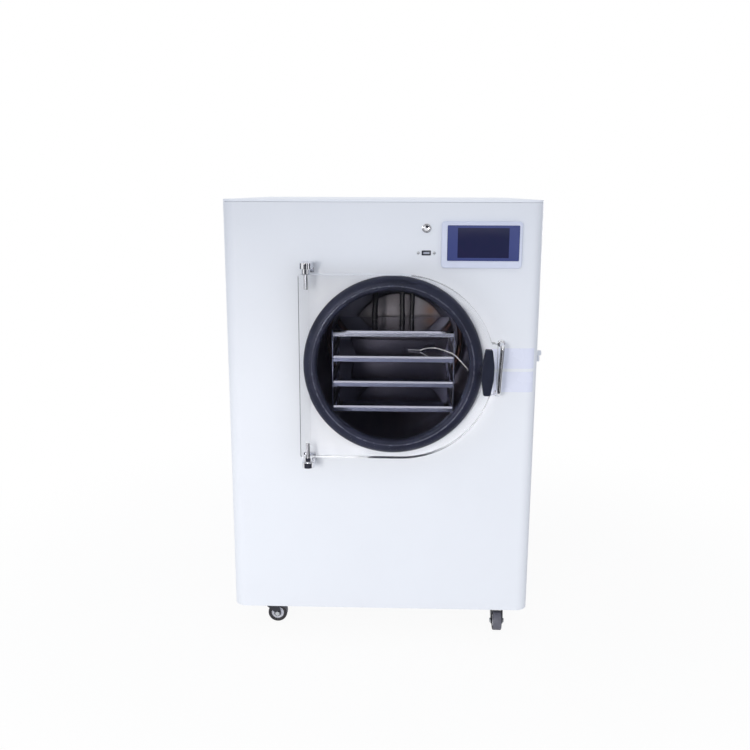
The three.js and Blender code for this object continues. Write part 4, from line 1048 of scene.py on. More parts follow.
# Baffle: a slightly domed disc with a rolled rim, on three standoffs
baffle = {
    "x": 0.012, "radius": 0.108, "front": 0.262, "rim": 0.008, "sheet": 0.0018, "bend": 0.003,
    "dish": 0.0035,
}
edge = baffle["radius"]
flat = edge - baffle["bend"]
dished = [
    (flat * k / 12, baffle["front"] + baffle["dish"] * (k / 12) ** 2) for k in range(13)
]
disc = turned(
    "baffle_disc",
    [
        *dished,
        *[
            (
                flat + baffle["bend"] * math.sin(a),
                baffle["front"] + baffle["dish"] + baffle["bend"] * (1 - math.cos(a)),
            )
            for a in (0.4, 0.8, 1.2, math.pi / 2)
        ],
        (edge, baffle["front"] + baffle["rim"]),
        (edge - baffle["sheet"], baffle["front"] + baffle["rim"]),
        (edge - baffle["sheet"], baffle["front"] + baffle["dish"] + 0.0032),
        *[(r - 0.0008 * (r > 0), y + baffle["sheet"]) for r, y in reversed(dished)],
    ],
    inChamber(baffle["x"], 0, 0),
)
legs = []
for degrees in (90, 210, 330):
    a = math.radians(degrees)
    x, z = baffle["x"] + 0.08 * math.cos(a), 0.08 * math.sin(a)
    legs.append(
        rod("leg", inChamber(x, 0.2655, z), inChamber(x, 0.3297, z), 0.004, 24, 0.0003)
    )
    legs.append(
        turned(
            "stud",
            [(0, -0.0011), (0.0012, -0.001), (0.0024, -0.0004), (0.0028, 0.0004), (0, 0.0004)],
            inChamber(x, baffle["front"] + baffle["dish"] * (0.08 / flat) ** 2, z),
            steps=24,
        )
    )
disc = joined("baffle_disc", disc, *legs)
settle(disc, "cabinet", baffleSteel, "rear_baffle")

# Shelves: the front edge has a sloped band above an upright face, the top is polished
shelf = {"band": 0.0040, "slope": 0.0015, "edge": 0.0004}
for number in range(1, 5):
    low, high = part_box("shelf_%d" % number)
    outline = [
        (low.y, low.z), (high.y, low.z), (high.y, high.z),
        (low.y + shelf["slope"] + 0.0010, high.z),
        (low.y + shelf["slope"], high.z - 0.0004),
        (low.y, high.z - shelf["band"]),
    ]
    tray = slab(
        "shelf_plate_%d" % number,
        [(low.x, y, z) for y, z in outline],
        (high.x - low.x, 0, 0),
    )
    easeSharp(tray, shelf["edge"], 2)
    # the first shelf keeps the plain steel, the others take its darker copy as painted shade
    plain = shelfSteel if number == 1 else shelfShaded
    paint(tray, plain, (shelfTop, lambda at, out: out.z > 0.2))
    settle(tray, "cabinet", None, "shelf_%d" % number, smooth=12)
for side in ("left", "right"):
    rack = refined("rack_side_" + side, "rack_wall_" + side, 0.0003)
    # the rack's front faces take the darker shelf steel: painted shade
    paint(rack, rackSteel, (shelfShaded, lambda at, out: out.y < -0.99))
    settle(rack, "cabinet", None, "rack_side_" + side)
print("chamber and rack done")

# Heater leads: ribbed glands in the roof, and rubber leads that lean a little on their way down
leads = {
    1: {"radius": 0.0063, "lean": (0.0014, 0.0006)},
    2: {"radius": 0.0056, "lean": (-0.0010, 0.0008)},
    3: {"radius": 0.0052, "lean": (0.0009, -0.0006)},
}
for number, lead in leads.items():
    low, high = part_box("heater_lead_%d" % number)
    x, y, _ = midway("heater_lead_%d" % number)
    glandTop, glandFoot = high.z, high.z - 0.0085
    sway = lead["lean"]
    radius = lead["radius"] - 0.0003
    middle = (low.z + glandFoot) / 2
    line = smoothRoute(
        [
            (x, y, glandTop - 0.004),
            (x, y, glandFoot - 0.004),
            (x + sway[0], y + sway[1], middle),
            (x, y, low.z + 0.008),
            (x, y, low.z),
        ],
        8,
    )
    hose = piped("hose", line, radius, 6)
    collar = radius + 0.0030
    gland = turned(
        "gland",
        [
            (0, glandFoot), (radius + 0.0008, glandFoot), (collar - 0.0010, glandFoot + 0.0012),
            (collar - 0.0004, glandFoot + 0.0022), (collar - 0.0004, glandFoot + 0.0034),
            (collar - 0.0009, glandFoot + 0.0037), (collar, glandFoot + 0.0042),
            (collar, glandTop), (0, glandTop),
        ],
        (x, y, 0),
        "Z",
        40,
    )
    sleeve = turned(
        "sleeve",
        [
            (0, low.z), (radius + 0.00028, low.z), (radius + 0.00028, low.z + 0.010),
            (radius, low.z + 0.0108), (0, low.z + 0.0108),
        ],
        (x, y, 0),
        "Z",
        40,
    )
    whole = joined("heater_hose_%d" % number, hose, gland, sleeve)
    settle(whole, "cabinet", hoseRubber, "heater_lead_%d" % number)

low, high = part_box("probe_gland")
_, y, z = midway("probe_gland")
gland = turned(
    "probe_entry",
    [
        (0, low.x), (0.0030, low.x), (0.0038, low.x + 0.0012), (0.0038, low.x + 0.0034),
        (0.0050, low.x + 0.0040), (0.0050, high.x), (0, high.x),
    ],
    (0, y, z),
    "X",
    32,
)
settle(gland, "cabinet", blackPlastic, "probe_gland")
print("leads done")


# Clear door about the chamber's axis: straight on the hinge side, round on the other, with a lug
door = {
    "half": 0.175, "shift": 0.016, "left": 0.1755, "corner": 0.004, "front": -0.0443,
    "back": -0.0223, "edge": 0.0006, "sideEdge": 0.0012, "lug": 0.196, "lugHalf": 0.049,
    "lugCorner": 0.007, "step": (0.0188, 0.010, 0.0007), "stepEdge": 0.0002,
    "pinX": -0.1615, "pinY": -0.037, "pinBore": 0.0035,
    "pinDepth": 0.0275, "spindleX": 0.175, "spindleBore": 0.0046,
}
lugAngle = math.degrees(math.asin(door["lugHalf"] / door["half"]))
lugX, lugZ = door["lug"] - door["lugCorner"], door["lugHalf"] - door["lugCorner"]
left, half, size = door["left"] - door["corner"], door["half"] - door["corner"], door["corner"]
outline = [
    *bend(door["shift"], 0, door["half"], -90, 90 - lugAngle, 40),
    *bend(lugX, -lugZ, door["lugCorner"], -90, 90, 8),
    *bend(lugX, lugZ, door["lugCorner"], 0, 90, 8),
    *bend(door["shift"], 0, door["half"], lugAngle, 90 - lugAngle, 40),
    *bend(-left, half, size, 90, 90, 6),
    *bend(-left, -half, size, 180, 90, 6),
]
doorPiece = slab(
    "clear_door",
    [inChamber(x, door["front"], z) for x, z in outline],
    (0, door["back"] - door["front"], 0),
)
rounded(
    doorPiece,
    "EDGE",
    lambda at, run: abs(run.z) > 0.99
    and at.x - axisX < -door["left"] + 0.001
    and at.y - front < door["front"] + 0.001,
    door["sideEdge"],
    3,
)
easeSharp(doorPiece, door["edge"], 3)

# A step along the hinge side of its back, its wall leaning a little under the face
run, rise, under = door["step"]
wallX = run - door["left"]
plan = [
    (-door["left"] - 0.01, door["back"] - rise), (wallX, door["back"] - rise),
    (wallX - under, door["back"]), (wallX - under, door["back"] + 0.01),
    (-door["left"] - 0.01, door["back"] + 0.01),
]
carve(
    doorPiece,
    slab(
        "step",
        [inChamber(x, y, -door["half"] - 0.01) for x, y in plan],
        (0, 0, 2 * door["half"] + 0.02),
    ),
)
rounded(
    doorPiece,
    "EDGE",
    lambda at, run: abs(run.z) > 0.99
    and abs(at.x - axisX - wallX) < 0.002
    and abs(at.y - front - door["back"]) < rise + 0.001,
    door["stepEdge"],
    2,
)
bores = [
    rod(
        "bore",
        inChamber(door["pinX"], door["pinY"], end * (door["half"] - door["pinDepth"])),
        inChamber(door["pinX"], door["pinY"], end * (door["half"] + 0.01)),
        door["pinBore"],
        48,
    )
    for end in (-1, 1)
]
bores.append(
    rod(
        "bore",
        inChamber(door["spindleX"], door["front"] - 0.01, 0),
        inChamber(door["spindleX"], door["back"] + 0.01, 0),
        door["spindleBore"],
        48,
    )
)
carve(doorPiece, *bores)


def onHingeEdge(at, out):
    # the eased front edge of the hinge side, painted dark as shade along the edge
    near = at.x - axisX < -door["left"] + 0.0016 and at.y - front < door["front"] + 0.0016
    return near and out.x < -0.2 and out.y < -0.2


def onTopEdge(at, out):
    # the straight run of the top, left matt as it was sawn, its pale colour a painted light
    return out.z > 0.3 and at.x < axisX + 0.05 and at.z > axisZ + door["half"] - 0.0008


paint(doorPiece, clearPlastic, (edgeShade, onHingeEdge), (sawnEdgeLit, onTopEdge))
settle(doorPiece, "door", None, "door")

# Hinges: a base on the panel, an arm out to the pin, a collar on the door's end, and the pin
hinge = {
    "width": 0.024, "baseFoot": 0.001, "armRise": 0.0100, "armHeight": 0.0115, "armRound": 0.0008,
    "collar": 0.008, "collarRise": 0.0005, "pin": 0.003, "bite": 0.027,
    "head": 0.005, "headHeight": 0.0018,
}
for name, end in (("top", 1), ("bottom", -1)):
    wide = hinge["width"] / 2
    floorZ = door["half"] + hinge["armRise"]
    tip = bend(door["pinX"], door["pinY"], wide, 180, 180, 24)
    plan = [(door["pinX"] + wide, -0.0003), (door["pinX"] - wide, -0.0003), *tip]
    arm = slab(
        "hinge_arm_" + name,
        [inChamber(x, y, end * floorZ) for x, y in plan],
        (0, 0, end * hinge["armHeight"]),
    )
    easeSharp(arm, hinge["armRound"], 3)
    zLow, zHigh = door["half"] + hinge["baseFoot"], floorZ + hinge["armHeight"] - 0.001
    a, b = sorted((end * zLow, end * zHigh))
    base = block(
        "hinge_base",
        inChamber(door["pinX"] - wide, -0.0033, a),
        inChamber(door["pinX"] + wide, -0.0003, b),
        0.0025,
        0.0005,
    )
    collar = rod(
        "hinge_collar",
        inChamber(door["pinX"], door["pinY"], end * (door["half"] + hinge["collarRise"])),
        inChamber(door["pinX"], door["pinY"], end * (floorZ + 0.001)),
        hinge["collar"],
        64,
        0.0006,
    )
    bracket = joined("hinge_bracket_body_" + name, arm, base, collar)
    settle(bracket, "cabinet", chrome, "hinge_bracket_" + name)
    head = floorZ + hinge["armHeight"] + 0.0003
    foot = door["half"] - hinge["bite"]
    pin = turned(
        "hinge_rod_" + name,
        [
            (0, end * foot), (hinge["pin"] - 0.0006, end * foot),
            (hinge["pin"], end * (foot + 0.0006)), (hinge["pin"], end * head),
            (hinge["head"] - 0.0003, end * head), (hinge["head"], end * (head + 0.0003)),
            (hinge["head"] - 0.0002, end * (head + 0.0011)),
            (hinge["head"] - 0.0014, end * (head + 0.0016)),
            (0, end * (head + hinge["headHeight"])),
        ],
        inChamber(door["pinX"], door["pinY"], 0),
        "Z",
        48,
    )
    settle(pin, "cabinet", pinSteel, "hinge_pin_" + name)

# Latch: a long six-sided knob on a round hub, its spindle through the lug, and the arm behind
latch = {
    "long": 0.086, "wide": 0.022, "tip": 0.0125, "thick": 0.016, "front": -0.0756,
    "back": -0.0446, "hub": 0.012, "waist": 0.16, "round": 0.0020, "lean": 1.5,
    "spindle": 0.004, "nut": 0.0052, "nutHeight": 0.0024, "armBack": -0.0173,
    "armLong": 0.035, "armWide": 0.012, "armTip": 0.008, "armThick": 0.0045,
}
wide, tip, long = latch["wide"] / 2, latch["tip"] / 2, latch["long"] / 2
waist = latch["waist"] * latch["long"]
spindleX = door["spindleX"]


def leaned(x, z, degrees):
    angle = math.radians(degrees)
    return x * math.cos(angle) + z * math.sin(angle), z * math.cos(angle) - x * math.sin(angle)


wing = [
    (-tip, -long), (tip, -long), (wide, -waist), (wide, waist),
    (tip, long), (-tip, long), (-wide, waist), (-wide, -waist),
]
knob = slab(
    "latch_grip",
    [
        inChamber(spindleX + a, latch["front"], b)
        for a, b in (leaned(x, z, latch["lean"]) for x, z in wing)
    ],
    (0, latch["thick"], 0),
)
for kind in ("EDGE", "FACE"):
    rounded(knob, kind, lambda at, way: abs(way.y) > 0.99, latch["round"], 5)
hub = turned(
    "latch_hub",
    [
        (0, latch["back"]), (latch["hub"] - 0.0008, latch["back"]),
        (latch["hub"], latch["back"] - 0.0008), (latch["hub"] - 0.0006, latch["back"] - 0.0095),
        (latch["hub"] - 0.0022, latch["front"] + latch["thick"] - 0.001),
        (0, latch["front"] + latch["thick"] - 0.001),
    ],
    inChamber(spindleX, 0, 0),
    steps=64,
)
knob = joined("latch_grip", knob, hub)
settle(knob, "latch", blackPlastic, "latch_knob")

shaft = turned(
    "latch_shaft",
    [
        (0, latch["front"] + 0.005), (latch["spindle"], latch["front"] + 0.005),
        (latch["spindle"], latch["armBack"] + 0.0020),
        (latch["spindle"] - 0.0006, latch["armBack"] + 0.0027),
        (0, latch["armBack"] + 0.0027),
    ],
    inChamber(spindleX, 0, 0),
    steps=48,
)
nut = rod(
    "latch_nut",
    inChamber(spindleX, latch["armBack"] + 0.0003, 0),
    inChamber(spindleX, latch["armBack"] + latch["nutHeight"], 0),
    latch["nut"],
    6,
    0.0004,
)
shaft = joined("latch_shaft", shaft, nut)
settle(shaft, "latch", chrome, "latch_spindle")

root, tip, long = latch["armWide"] / 2, latch["armTip"] / 2, latch["armLong"]
plan = [
    (-root, -long + 3 * tip), (-tip, -long + 0.002),
    (-tip * 0.5, -long), (tip * 0.5, -long),
    (tip, -long + 0.002), (root, -long + 3 * tip),
    *bend(0, 0, root, 0, 180, 24),
]
arm = slab(
    "latch_bar",
    [inChamber(spindleX + x, latch["armBack"] - latch["armThick"], z) for x, z in plan],
    (0, latch["armThick"], 0),
)
easeSharp(arm, 0.0007, 3)
settle(arm, "latch", chrome, "latch_arm")

# Keeper: a bent bar on two round feet, leaning a little
keeper = {
    "x": 0.2033, "z": -0.005, "half": 0.048, "wire": 0.004, "bend": 0.009, "y": -0.0268,
    "foot": 0.0075, "lean": 2.7,
}
half, turnSize = keeper["half"], keeper["bend"]


def keeperSpot(y, z):
    x, z = leaned(0, z, keeper["lean"])
    return inChamber(keeper["x"] + x, y, keeper["z"] + z)


profile = [(-0.0003, half)]
profile += [
    (keeper["y"] + turnSize - turnSize * math.sin(a), half - turnSize + turnSize * math.cos(a))
    for a in [math.pi / 2 * k / 10 for k in range(11)]
]
profile += [(y, -z) for y, z in reversed(profile)]
route = [keeperSpot(y, z) for y, z in profile]
wire = piped("latch_keeper_bar", route, keeper["wire"], 10)
feet = []
for end in (1, -1):
    spot = keeperSpot(0, end * half)
    feet.append(
        turned(
            "foot",
            [
                (0, -0.0023), (keeper["wire"] + 0.0002, -0.0023),
                (keeper["foot"] - 0.0020, -0.0023), (keeper["foot"] - 0.0007, -0.0019),
                (keeper["foot"], -0.0010), (keeper["foot"], -0.0003), (0, -0.0003),
            ],
            (spot.x, front, spot.z),
            steps=48,
        )
    )
wire = joined("latch_keeper_bar", wire, *feet)
settle(wire, "cabinet", chrome, "latch_keeper", smooth=50)
print("door, hinges and latch done")


# Casters: one of each piece is made about its joint, then copied and turned for every corner
caster = {
    "plate": 0.044, "plateThick": 0.0025, "top": 0.0617, "race": 0.015, "raceHeight": 0.0055,
    "kingpin": 0.004, "crown": 0.016, "sheet": 0.0022, "offset": 0.024, "nut": 0.0052,
    "nutHeight": 0.0026, "axle": 0.003, "bolt": 0.0032,
}
wheel = {"radius": 0.020, "width": 0.018, "nave": 0.0065}
corners = {"front_left": 90, "front_right": 0, "rear_left": 150, "rear_right": 205}
raceTop = caster["top"] - caster["plateThick"]
raceFoot = raceTop - caster["raceHeight"]
crownTop = raceFoot - 0.0003
inside = wheel["width"] / 2 + 0.001
outside = inside + caster["sheet"]

plate = block(
    "plate",
    (-caster["plate"] / 2, -caster["plate"] / 2, raceTop),
    (caster["plate"] / 2, caster["plate"] / 2, caster["top"]),
    0.005,
    0.0004,
    "Z",
)
race = turned(
    "race",
    [
        (caster["kingpin"] + 0.0003, raceFoot), (caster["race"] - 0.0032, raceFoot),
        (caster["race"] - 0.0010, raceFoot + 0.0006), (caster["race"] - 0.0002, raceFoot + 0.0022),
        (caster["race"], raceFoot + 0.0034), (caster["race"] - 0.0006, raceTop + 0.0002),
        (caster["kingpin"] + 0.0003, raceTop + 0.0002), (caster["kingpin"] + 0.0003, raceFoot),
    ],
    (0, 0, 0),
    "Z",
    48,
)
bolts = []
for x, y in ((-1, -1), (1, -1), (1, 1), (-1, 1)):
    x, y = 0.0165 * x, 0.0165 * y
    bolts.append(
        rod("bolt", (x, y, raceTop - 0.0026), (x, y, raceTop + 0.0005), caster["bolt"], 6, 0.0003)
    )
plate = joined("plate", plate, race, *bolts)

# The fork: a crown plate, two cheeks that taper down to the axle, a dust cap and the kingpin
cheek = [
    (caster["crown"] * 0.55, crownTop), (-caster["offset"], crownTop),
    (-caster["offset"] - 0.007, wheel["radius"] + 0.003),
    *bend(-caster["offset"], wheel["radius"], 0.007, 180, 180, 16),
    (-caster["offset"] + 0.007, wheel["radius"] + 0.003),
    (caster["crown"] * 0.55, crownTop - 0.008),
]
cheeks = []
for x in (-outside, inside):
    side = slab("cheek", [(x, y, z) for y, z in cheek], (caster["sheet"], 0, 0))
    cheeks.append(easeSharp(side, 0.0004))
crown = turned(
    "crown",
    [
        (0, crownTop - 0.003), (caster["crown"] - 0.0012, crownTop - 0.003),
        (caster["crown"], crownTop - 0.0018), (caster["crown"], crownTop - 0.0006),
        (caster["crown"] - 0.0008, crownTop), (0, crownTop),
    ],
    (0, 0, 0),
    "Z",
    48,
)
bridge = block(
    "bridge",
    (-outside, -caster["offset"], crownTop - 0.003),
    (outside, 0, crownTop),
    0,
    0.0005,
)
kingpin = rod("kingpin", (0, 0, crownTop - 0.001), (0, 0, raceTop - 0.0003), caster["kingpin"], 32)
axle = rod(
    "axle",
    (-outside, -caster["offset"], wheel["radius"]),
    (outside, -caster["offset"], wheel["radius"]),
    caster["axle"],
    32,
)
nuts = [
    rod(
        "nut",
        (s * (outside - 0.0004), -caster["offset"], wheel["radius"]),
        (s * (outside + caster["nutHeight"]), -caster["offset"], wheel["radius"]),
        caster["nut"],
        6,
        0.0005,
    )
    for s in (-1, 1)
]
fork = joined("fork", crown, bridge, kingpin, axle, *cheeks, *nuts)
paint(
    fork, darkSteel, (zincSteel, lambda at, out: abs(at.x) > outside + 0.0001 and at.z < 0.03)
)

# The wheel about its axle: a rubber tread on a pale core with a dished face
w = wheel["width"] / 2
tread = turned(
    "tread",
    [
        (0.0125, -w + 0.0016), (0.0150, -w + 0.0004), (0.0182, -w), (0.0192, -w + 0.0004),
        (0.0198, -w + 0.0014), (wheel["radius"], -w + 0.0032), (wheel["radius"], 0),
        (wheel["radius"], w - 0.0032), (0.0198, w - 0.0014), (0.0192, w - 0.0004), (0.0182, w),
        (0.0150, w - 0.0004), (0.0125, w - 0.0016), (0.0125, -w + 0.0016),
    ],
    (0, 0, 0),
    "X",
    64,
)
core = turned(
    "core",
    [
        (caster["axle"] + 0.0003, -w), (wheel["nave"], -w), (wheel["nave"] + 0.0008, -w + 0.0008),
        (0.0088, -w + 0.0022), (0.0108, -w + 0.0022), (0.0120, -w + 0.0012),
        (0.0128, -w + 0.0013), (0.0128, w - 0.0013), (0.0120, w - 0.0012),
        (0.0108, w - 0.0022), (0.0088, w - 0.0022),
        (wheel["nave"] + 0.0008, w - 0.0008), (wheel["nave"], w), (caster["axle"] + 0.0003, w),
        (caster["axle"] + 0.0003, -w),
    ],
    (0, 0, 0),
    "X",
    64,
)
paint(core, hubPlastic)


def onTread(at, out):
    return abs(out.x) < 0.6 and math.hypot(at.y, at.z) > 0.0185


paint(tread, wheelRubber, (treadRubber, onTread))
wheelPiece = joined("wheel", tread, core)

for corner, degrees in corners.items():
    centre = Vector(joints["swivel_" + corner]["pos_m"])
    facing = Matrix.Rotation(math.radians(degrees), 4, "Z")
    place = (centre.x, centre.y, 0)
    settle(
        copied(plate, "caster_plate_body_" + corner, place),
        "cabinet", zincSteel, "caster_plate_" + corner,
    )
    settle(
        copied(fork, "caster_fork_body_" + corner, place, facing),
        "swivel_" + corner, None, "caster_fork_" + corner,
    )
    place = joints["roll_" + corner]["pos_m"]
    settle(
        copied(wheelPiece, "caster_wheel_body_" + corner, place, facing),
        "wheel_" + corner, None, "caster_wheel_" + corner,
    )
for pattern in (plate, fork, wheelPiece):
    bpy.data.objects.remove(pattern)
print("casters done")


# Vent fitting on the right: a hexagon nut on the panel, a stub, and a ribbed barb turned down
vent = {
    "radius": 0.0055, "nut": 0.0085, "barb": 0.0036, "drop": 0.018, "reach": 0.0295,
    "height": 0.569,
}
ventY, ventZ = midway("vent_fitting")[1], vent["height"]
face, end = panelHigh.x, panelHigh.x + vent["reach"]
stub = turned(
    "stub",
    [
        (0, face - 0.012), (vent["radius"], face - 0.012), (vent["radius"], face + 0.0075),
        (vent["radius"] - 0.0007, face + 0.0085), (vent["radius"] - 0.0007, face + 0.0145),
        (vent["radius"], face + 0.0155), (vent["radius"], end - 0.0016),
        (vent["radius"] - 0.0005, end - 0.0005), (vent["radius"] - 0.0016, end), (0, end),
    ],
    (0, ventY, ventZ),
    "X",
    48,
)
nut = rod(
    "nut", (face + 0.0003, ventY, ventZ), (face + 0.0063, ventY, ventZ), vent["nut"], 6, 0.0006
)
backNut = rod(
    "nut", (face - 0.0058, ventY, ventZ), (face - 0.0018, ventY, ventZ), vent["nut"], 6, 0.0005
)
barb = turned(
    "barb",
    [
        (0, -vent["drop"]), (vent["barb"] - 0.0012, -vent["drop"]),
        (vent["barb"] - 0.0009, -vent["drop"] + 0.0003),
        (vent["barb"], -vent["drop"] + 0.0040), (vent["barb"] - 0.0008, -vent["drop"] + 0.0042),
        (vent["barb"], -vent["drop"] + 0.0080), (vent["barb"] - 0.0008, -vent["drop"] + 0.0082),
        (vent["barb"] - 0.0008, 0), (0, 0),
    ],
    (end - 0.0060, ventY, ventZ),
    "Z",
    32,
)
fitting = joined("vent_elbow", stub, nut, backNut, barb)
settle(fitting, "cabinet", bodyPaint, "vent_fitting")

# Vacuum port: a collar on the back plate, the tube, and a clamp flange with a bevelled back
portLow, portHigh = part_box("vacuum_port")
y0, y1 = portLow.y - front, portHigh.y - front
port = {"bore": 0.0125, "tube": 0.0141, "collar": 0.024, "flange": 0.020, "thick": 0.003}
pipe = turned(
    "vacuum_pipe",
    [
        (port["bore"], y0), (port["collar"], y0), (port["collar"], y0 + 0.0034),
        (port["collar"] - 0.0006, y0 + 0.004), (port["tube"] + 0.0012, y0 + 0.004),
        (port["tube"], y0 + 0.0052), (port["tube"], y1 - port["thick"] - 0.004),
        (port["flange"] - 0.0003, y1 - port["thick"] - 0.0001),
        (port["flange"], y1 - port["thick"]),
        (port["flange"], y1 - 0.0004), (port["flange"] - 0.0004, y1),
        (port["bore"] + 0.0016, y1), (port["bore"] + 0.0014, y1 - 0.0010),
        (port["bore"], y1 - 0.0010), (port["bore"], y0),
    ],
    inChamber(0, 0, 0),
    steps=96,
)
settle(pipe, "cabinet", stainless, "vacuum_port")

# Mains sockets: an inlet with three steel pins, and an outlet for the pump
inlet = refined("mains_inlet", "mains_inlet_shell", 0.0005)
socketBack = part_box("mains_inlet")[1].y
socketX, _, socketZ = midway("mains_inlet")


def onPin(at, out):
    x, z = at.x - socketX, at.z - socketZ
    return socketBack - 0.018 < at.y < socketBack - 0.0065 and any(
        abs(x - a) < 0.0012 and abs(z - b) < 0.0024
        for a, b in ((-0.007, -0.0025), (0.007, -0.0025), (0, 0.0025))
    )


paint(inlet, blackPlastic, (zincSteel, onPin))
settle(inlet, "cabinet", None, "mains_inlet")
outlet = refined("pump_outlet", "pump_outlet_shell", 0.0004)
settle(outlet, "cabinet", blackPlastic, "pump_outlet")

fanShell = refined("fan_frame", "fan_housing", 0.0005)
settle(fanShell, "cabinet", blackPlastic, "fan_frame")
fanBlades = refined("fan_rotor", "fan_blades", 0.0002)
settle(fanBlades, "fan_rotor", blackPlastic, "fan_rotor")

# Screws round the rear panel's edge
rearLow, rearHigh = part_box("rear_panel")
rearScrew = {"head": 0.0034, "height": 0.0018, "inset": 0.010, "columns": 4, "rows": 5}
spots = []
x0, x1 = rearLow.x + rearScrew["inset"], rearHigh.x - rearScrew["inset"]
z0, z1 = rearLow.z + rearScrew["inset"], rearHigh.z - rearScrew["inset"]
for k in range(rearScrew["rows"]):
    z = z0 + (z1 - z0) * k / (rearScrew["rows"] - 1)
    spots += [(x0, z), (x1, z)]
for k in range(1, rearScrew["columns"] - 1):
    x = x0 + (x1 - x0) * k / (rearScrew["columns"] - 1)
    spots += [(x, z0), (x, z1)]
r, h = rearScrew["head"], rearScrew["height"]
pattern = turned(
    "pattern",
    [
        (0, h), (r * 0.45, h * 0.97), (r * 0.75, h * 0.78), (r * 0.95, h * 0.38), (r, 0),
        (r * 0.9, -0.0004), (0, -0.0004),
    ],
    (0, rearHigh.y, 0),
    steps=24,
)
carve(
    pattern,
    *[
        block("cut", (-a, rearHigh.y + h * 0.45, -b), (a, rearHigh.y + 0.01, b), 0, 0)
        for a, b in ((0.0016, 0.00035), (0.00035, 0.0016))
    ],
)
heads = [copied(pattern, "head", (x, 0, z)) for x, z in spots]
bpy.data.objects.remove(pattern)
screws = joined("rear_screws", *heads)
settle(screws, "cabinet", zincSteel)
print("back fittings done")


for node, finish in {
    "frame": zincSteel, "insulation_jacket": foam, "probe_tip": probeSteel,
}.items():
    paint(frame["nodes"][node], finish)
# Floor, surroundings and lamps. Dark cards stand behind the camera for the metal and the
# clear door to reflect, and the key is a soft cone whose upper edge fades out on the front
studio = {
    "sky": 0.83,
    "skyTint": (0.89, 0.925, 1.0),
    "floor": (0.84, 0.835, 0.825),
    "floorGlow": (0.93, 1.0),
    "floorFade": (0.5, 1.3),
    "cardShade": (0.050, 0.050, 0.064),
    "cards": {
        "middle": ((-1.27, -2.1, 0.0), (1.77, 0, 0), (0, 0, 0.74)),
        "low": ((-2.8, -2.1, 0.002), (5.6, 0, 0), (0, 1.45, 0)),
        "left": ((-2.2, -0.62, 0.0), (0, 1.32, 0), (0, 0, 1.35)),
        "right": ((0.95, -2.1, 0.0), (1.55, 0, 0), (0, 0, 1.35)),
        "far": ((2.4, -1.5, 0.0), (0, 2.3, 0), (0, 0, 1.35)),
        "shade": ((1.3, -0.32, 0.0), (0, 1.57, 0), (0, 0, 1.35)),
    },
    "key": {
        "spot": (-0.85, -2.5, 0.75), "aim": (0.05, -0.29, -0.09), "tint": (1.0, 0.965, 0.91),
        "cone": 47.4, "edge": 0.43, "soft": 0.30, "watts": 83,
    },
    "fill": {
        "spot": (1.9, -1.8, 0.5), "aim": (0.0, -0.3, 0.25), "tint": (0.98, 0.98, 1.0),
        "size": 1.4, "watts": 3,
    },
    "rear": {
        "spot": (1.9, 2.3, 1.2), "aim": (0.1, 0.2, 0.40), "tint": (1.0, 0.98, 0.95),
        "size": 1.6, "watts": 26,
    },
}
deselectAll()
bpy.ops.mesh.primitive_circle_add(vertices=96, radius=30, fill_type="NGON", location=(0, 0, 0))
floor = bpy.context.object
floor.name = "studio_floor"


def lightPathSum(tree):
    # 1 for what the camera sees, straight or in a reflection or through the door
    rays = shaderNode(tree, "LightPath", {})
    total = rays.outputs["Is Camera Ray"]
    for kind in ("Is Glossy Ray", "Is Transmission Ray"):
        inputs = {0: total, 1: rays.outputs[kind]}
        total = shaderNode(tree, "Math", inputs, operation="ADD", use_clamp=True).outputs[0]
    return total


def matt(name, color, roughness):
    paint = bpy.data.materials.new(name)
    paint.use_nodes = True
    shader = paint.node_tree.nodes["Principled BSDF"]
    shader.inputs["Base Color"].default_value = (*color, 1)
    shader.inputs["Roughness"].default_value = roughness
    shader.inputs["Specular IOR Level"].default_value = 0.0
    return paint


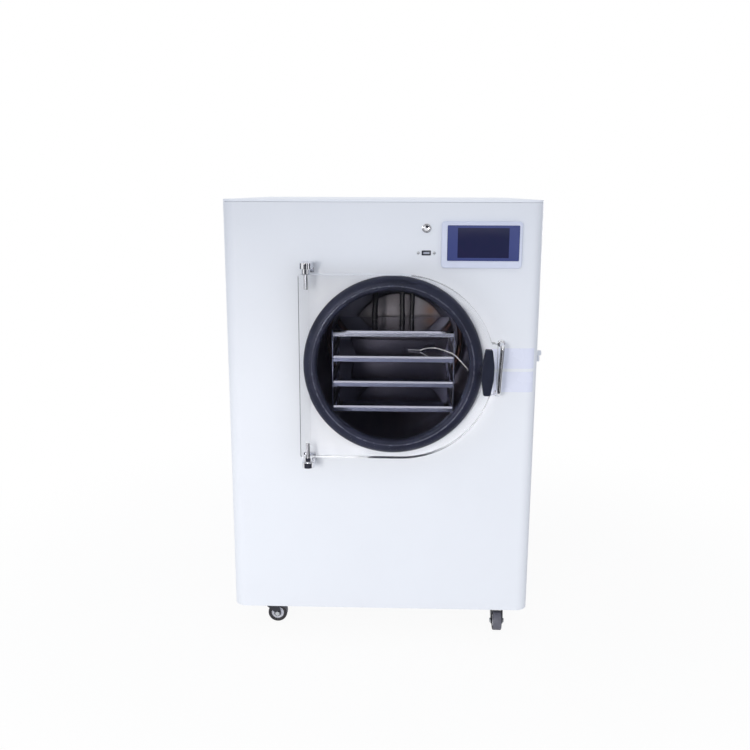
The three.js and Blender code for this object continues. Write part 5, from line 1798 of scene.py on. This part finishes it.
floorPaint = matt("studio_floor_white", studio["floor"], 0.9)
tree = floorPaint.node_tree
away = shaderNode(tree, "VectorMath", {
    0: shaderNode(tree, "TexCoord", {}).outputs["Object"],
}, operation="LENGTH")
fade = shaderNode(tree, "MapRange", {
    "From Min": studio["floorFade"][0], "From Max": studio["floorFade"][1],
    "To Min": studio["floorGlow"][0], "To Max": studio["floorGlow"][1],
    "Value": away.outputs["Value"],
}, interpolation_type="SMOOTHSTEP")
share = shaderNode(
    tree, "Math", {0: lightPathSum(tree), 1: fade.outputs["Result"]}, operation="MULTIPLY"
)
glow = shaderNode(tree, "Emission", {"Color": (1, 1, 1, 1)})
blend = shaderNode(tree, "MixShader", {
    "Fac": share.outputs[0],
    1: tree.nodes["Principled BSDF"].outputs["BSDF"],
    2: glow.outputs["Emission"],
})
tree.links.new(blend.outputs["Shader"], tree.nodes["Material Output"].inputs["Surface"])
floor.data.materials.append(floorPaint)
cardPaint = matt("studio_card_dark", studio["cardShade"], 1.0)


def studioCard(name, corner, across, up):
    # a flat card from its corner; only reflections meet it
    low, across, up = Vector(corner), Vector(across), Vector(up)
    card = slab(name, [low, low + across, low + across + up, low + up], across.cross(up) * 1e-3)
    card.data.materials.append(cardPaint)
    card.visible_camera = False
    card.visible_shadow = False
    card.visible_diffuse = False
    return card


for name, spread in studio["cards"].items():
    card = studioCard("studio_card_" + name, *spread)
    if name == "shade":
        # this one keeps light off the right of the cabinet and is not reflected
        card.visible_diffuse = True
        card.visible_shadow = True
        card.visible_glossy = False
        card.visible_transmission = False

world = bpy.data.worlds.new("studio_surroundings")
bpy.context.scene.world = world
world.use_nodes = True
tree = world.node_tree
lit = tree.nodes["Background"]
lit.inputs["Color"].default_value = (*studio["skyTint"], 1)
lit.inputs["Strength"].default_value = studio["sky"]
seen = shaderNode(tree, "Background", {"Color": (1, 1, 1, 1), "Strength": 1.0})
blend = shaderNode(tree, "MixShader", {
    "Fac": lightPathSum(tree), 1: lit.outputs["Background"], 2: seen.outputs["Background"],
})
tree.links.new(blend.outputs["Shader"], tree.nodes["World Output"].inputs["Surface"])

for name, kind in (("key", "SPOT"), ("fill", "AREA"), ("rear", "AREA")):
    lamp = studio[name]
    aim = Vector(lamp["aim"]) - Vector(lamp["spot"])
    deselectAll()
    bpy.ops.object.light_add(
        type=kind, location=lamp["spot"], rotation=aim.to_track_quat("-Z", "Y").to_euler()
    )
    light = bpy.context.object
    light.name = "studio_" + name
    light.data.energy = lamp["watts"]
    light.data.color = lamp["tint"]
    if kind == "SPOT":
        light.data.spot_size = math.radians(lamp["cone"])
        light.data.spot_blend = lamp["edge"]
        light.data.shadow_soft_size = lamp["soft"]
    else:
        light.data.shape = "SQUARE"
        light.data.size = lamp["size"]
print("studio done")
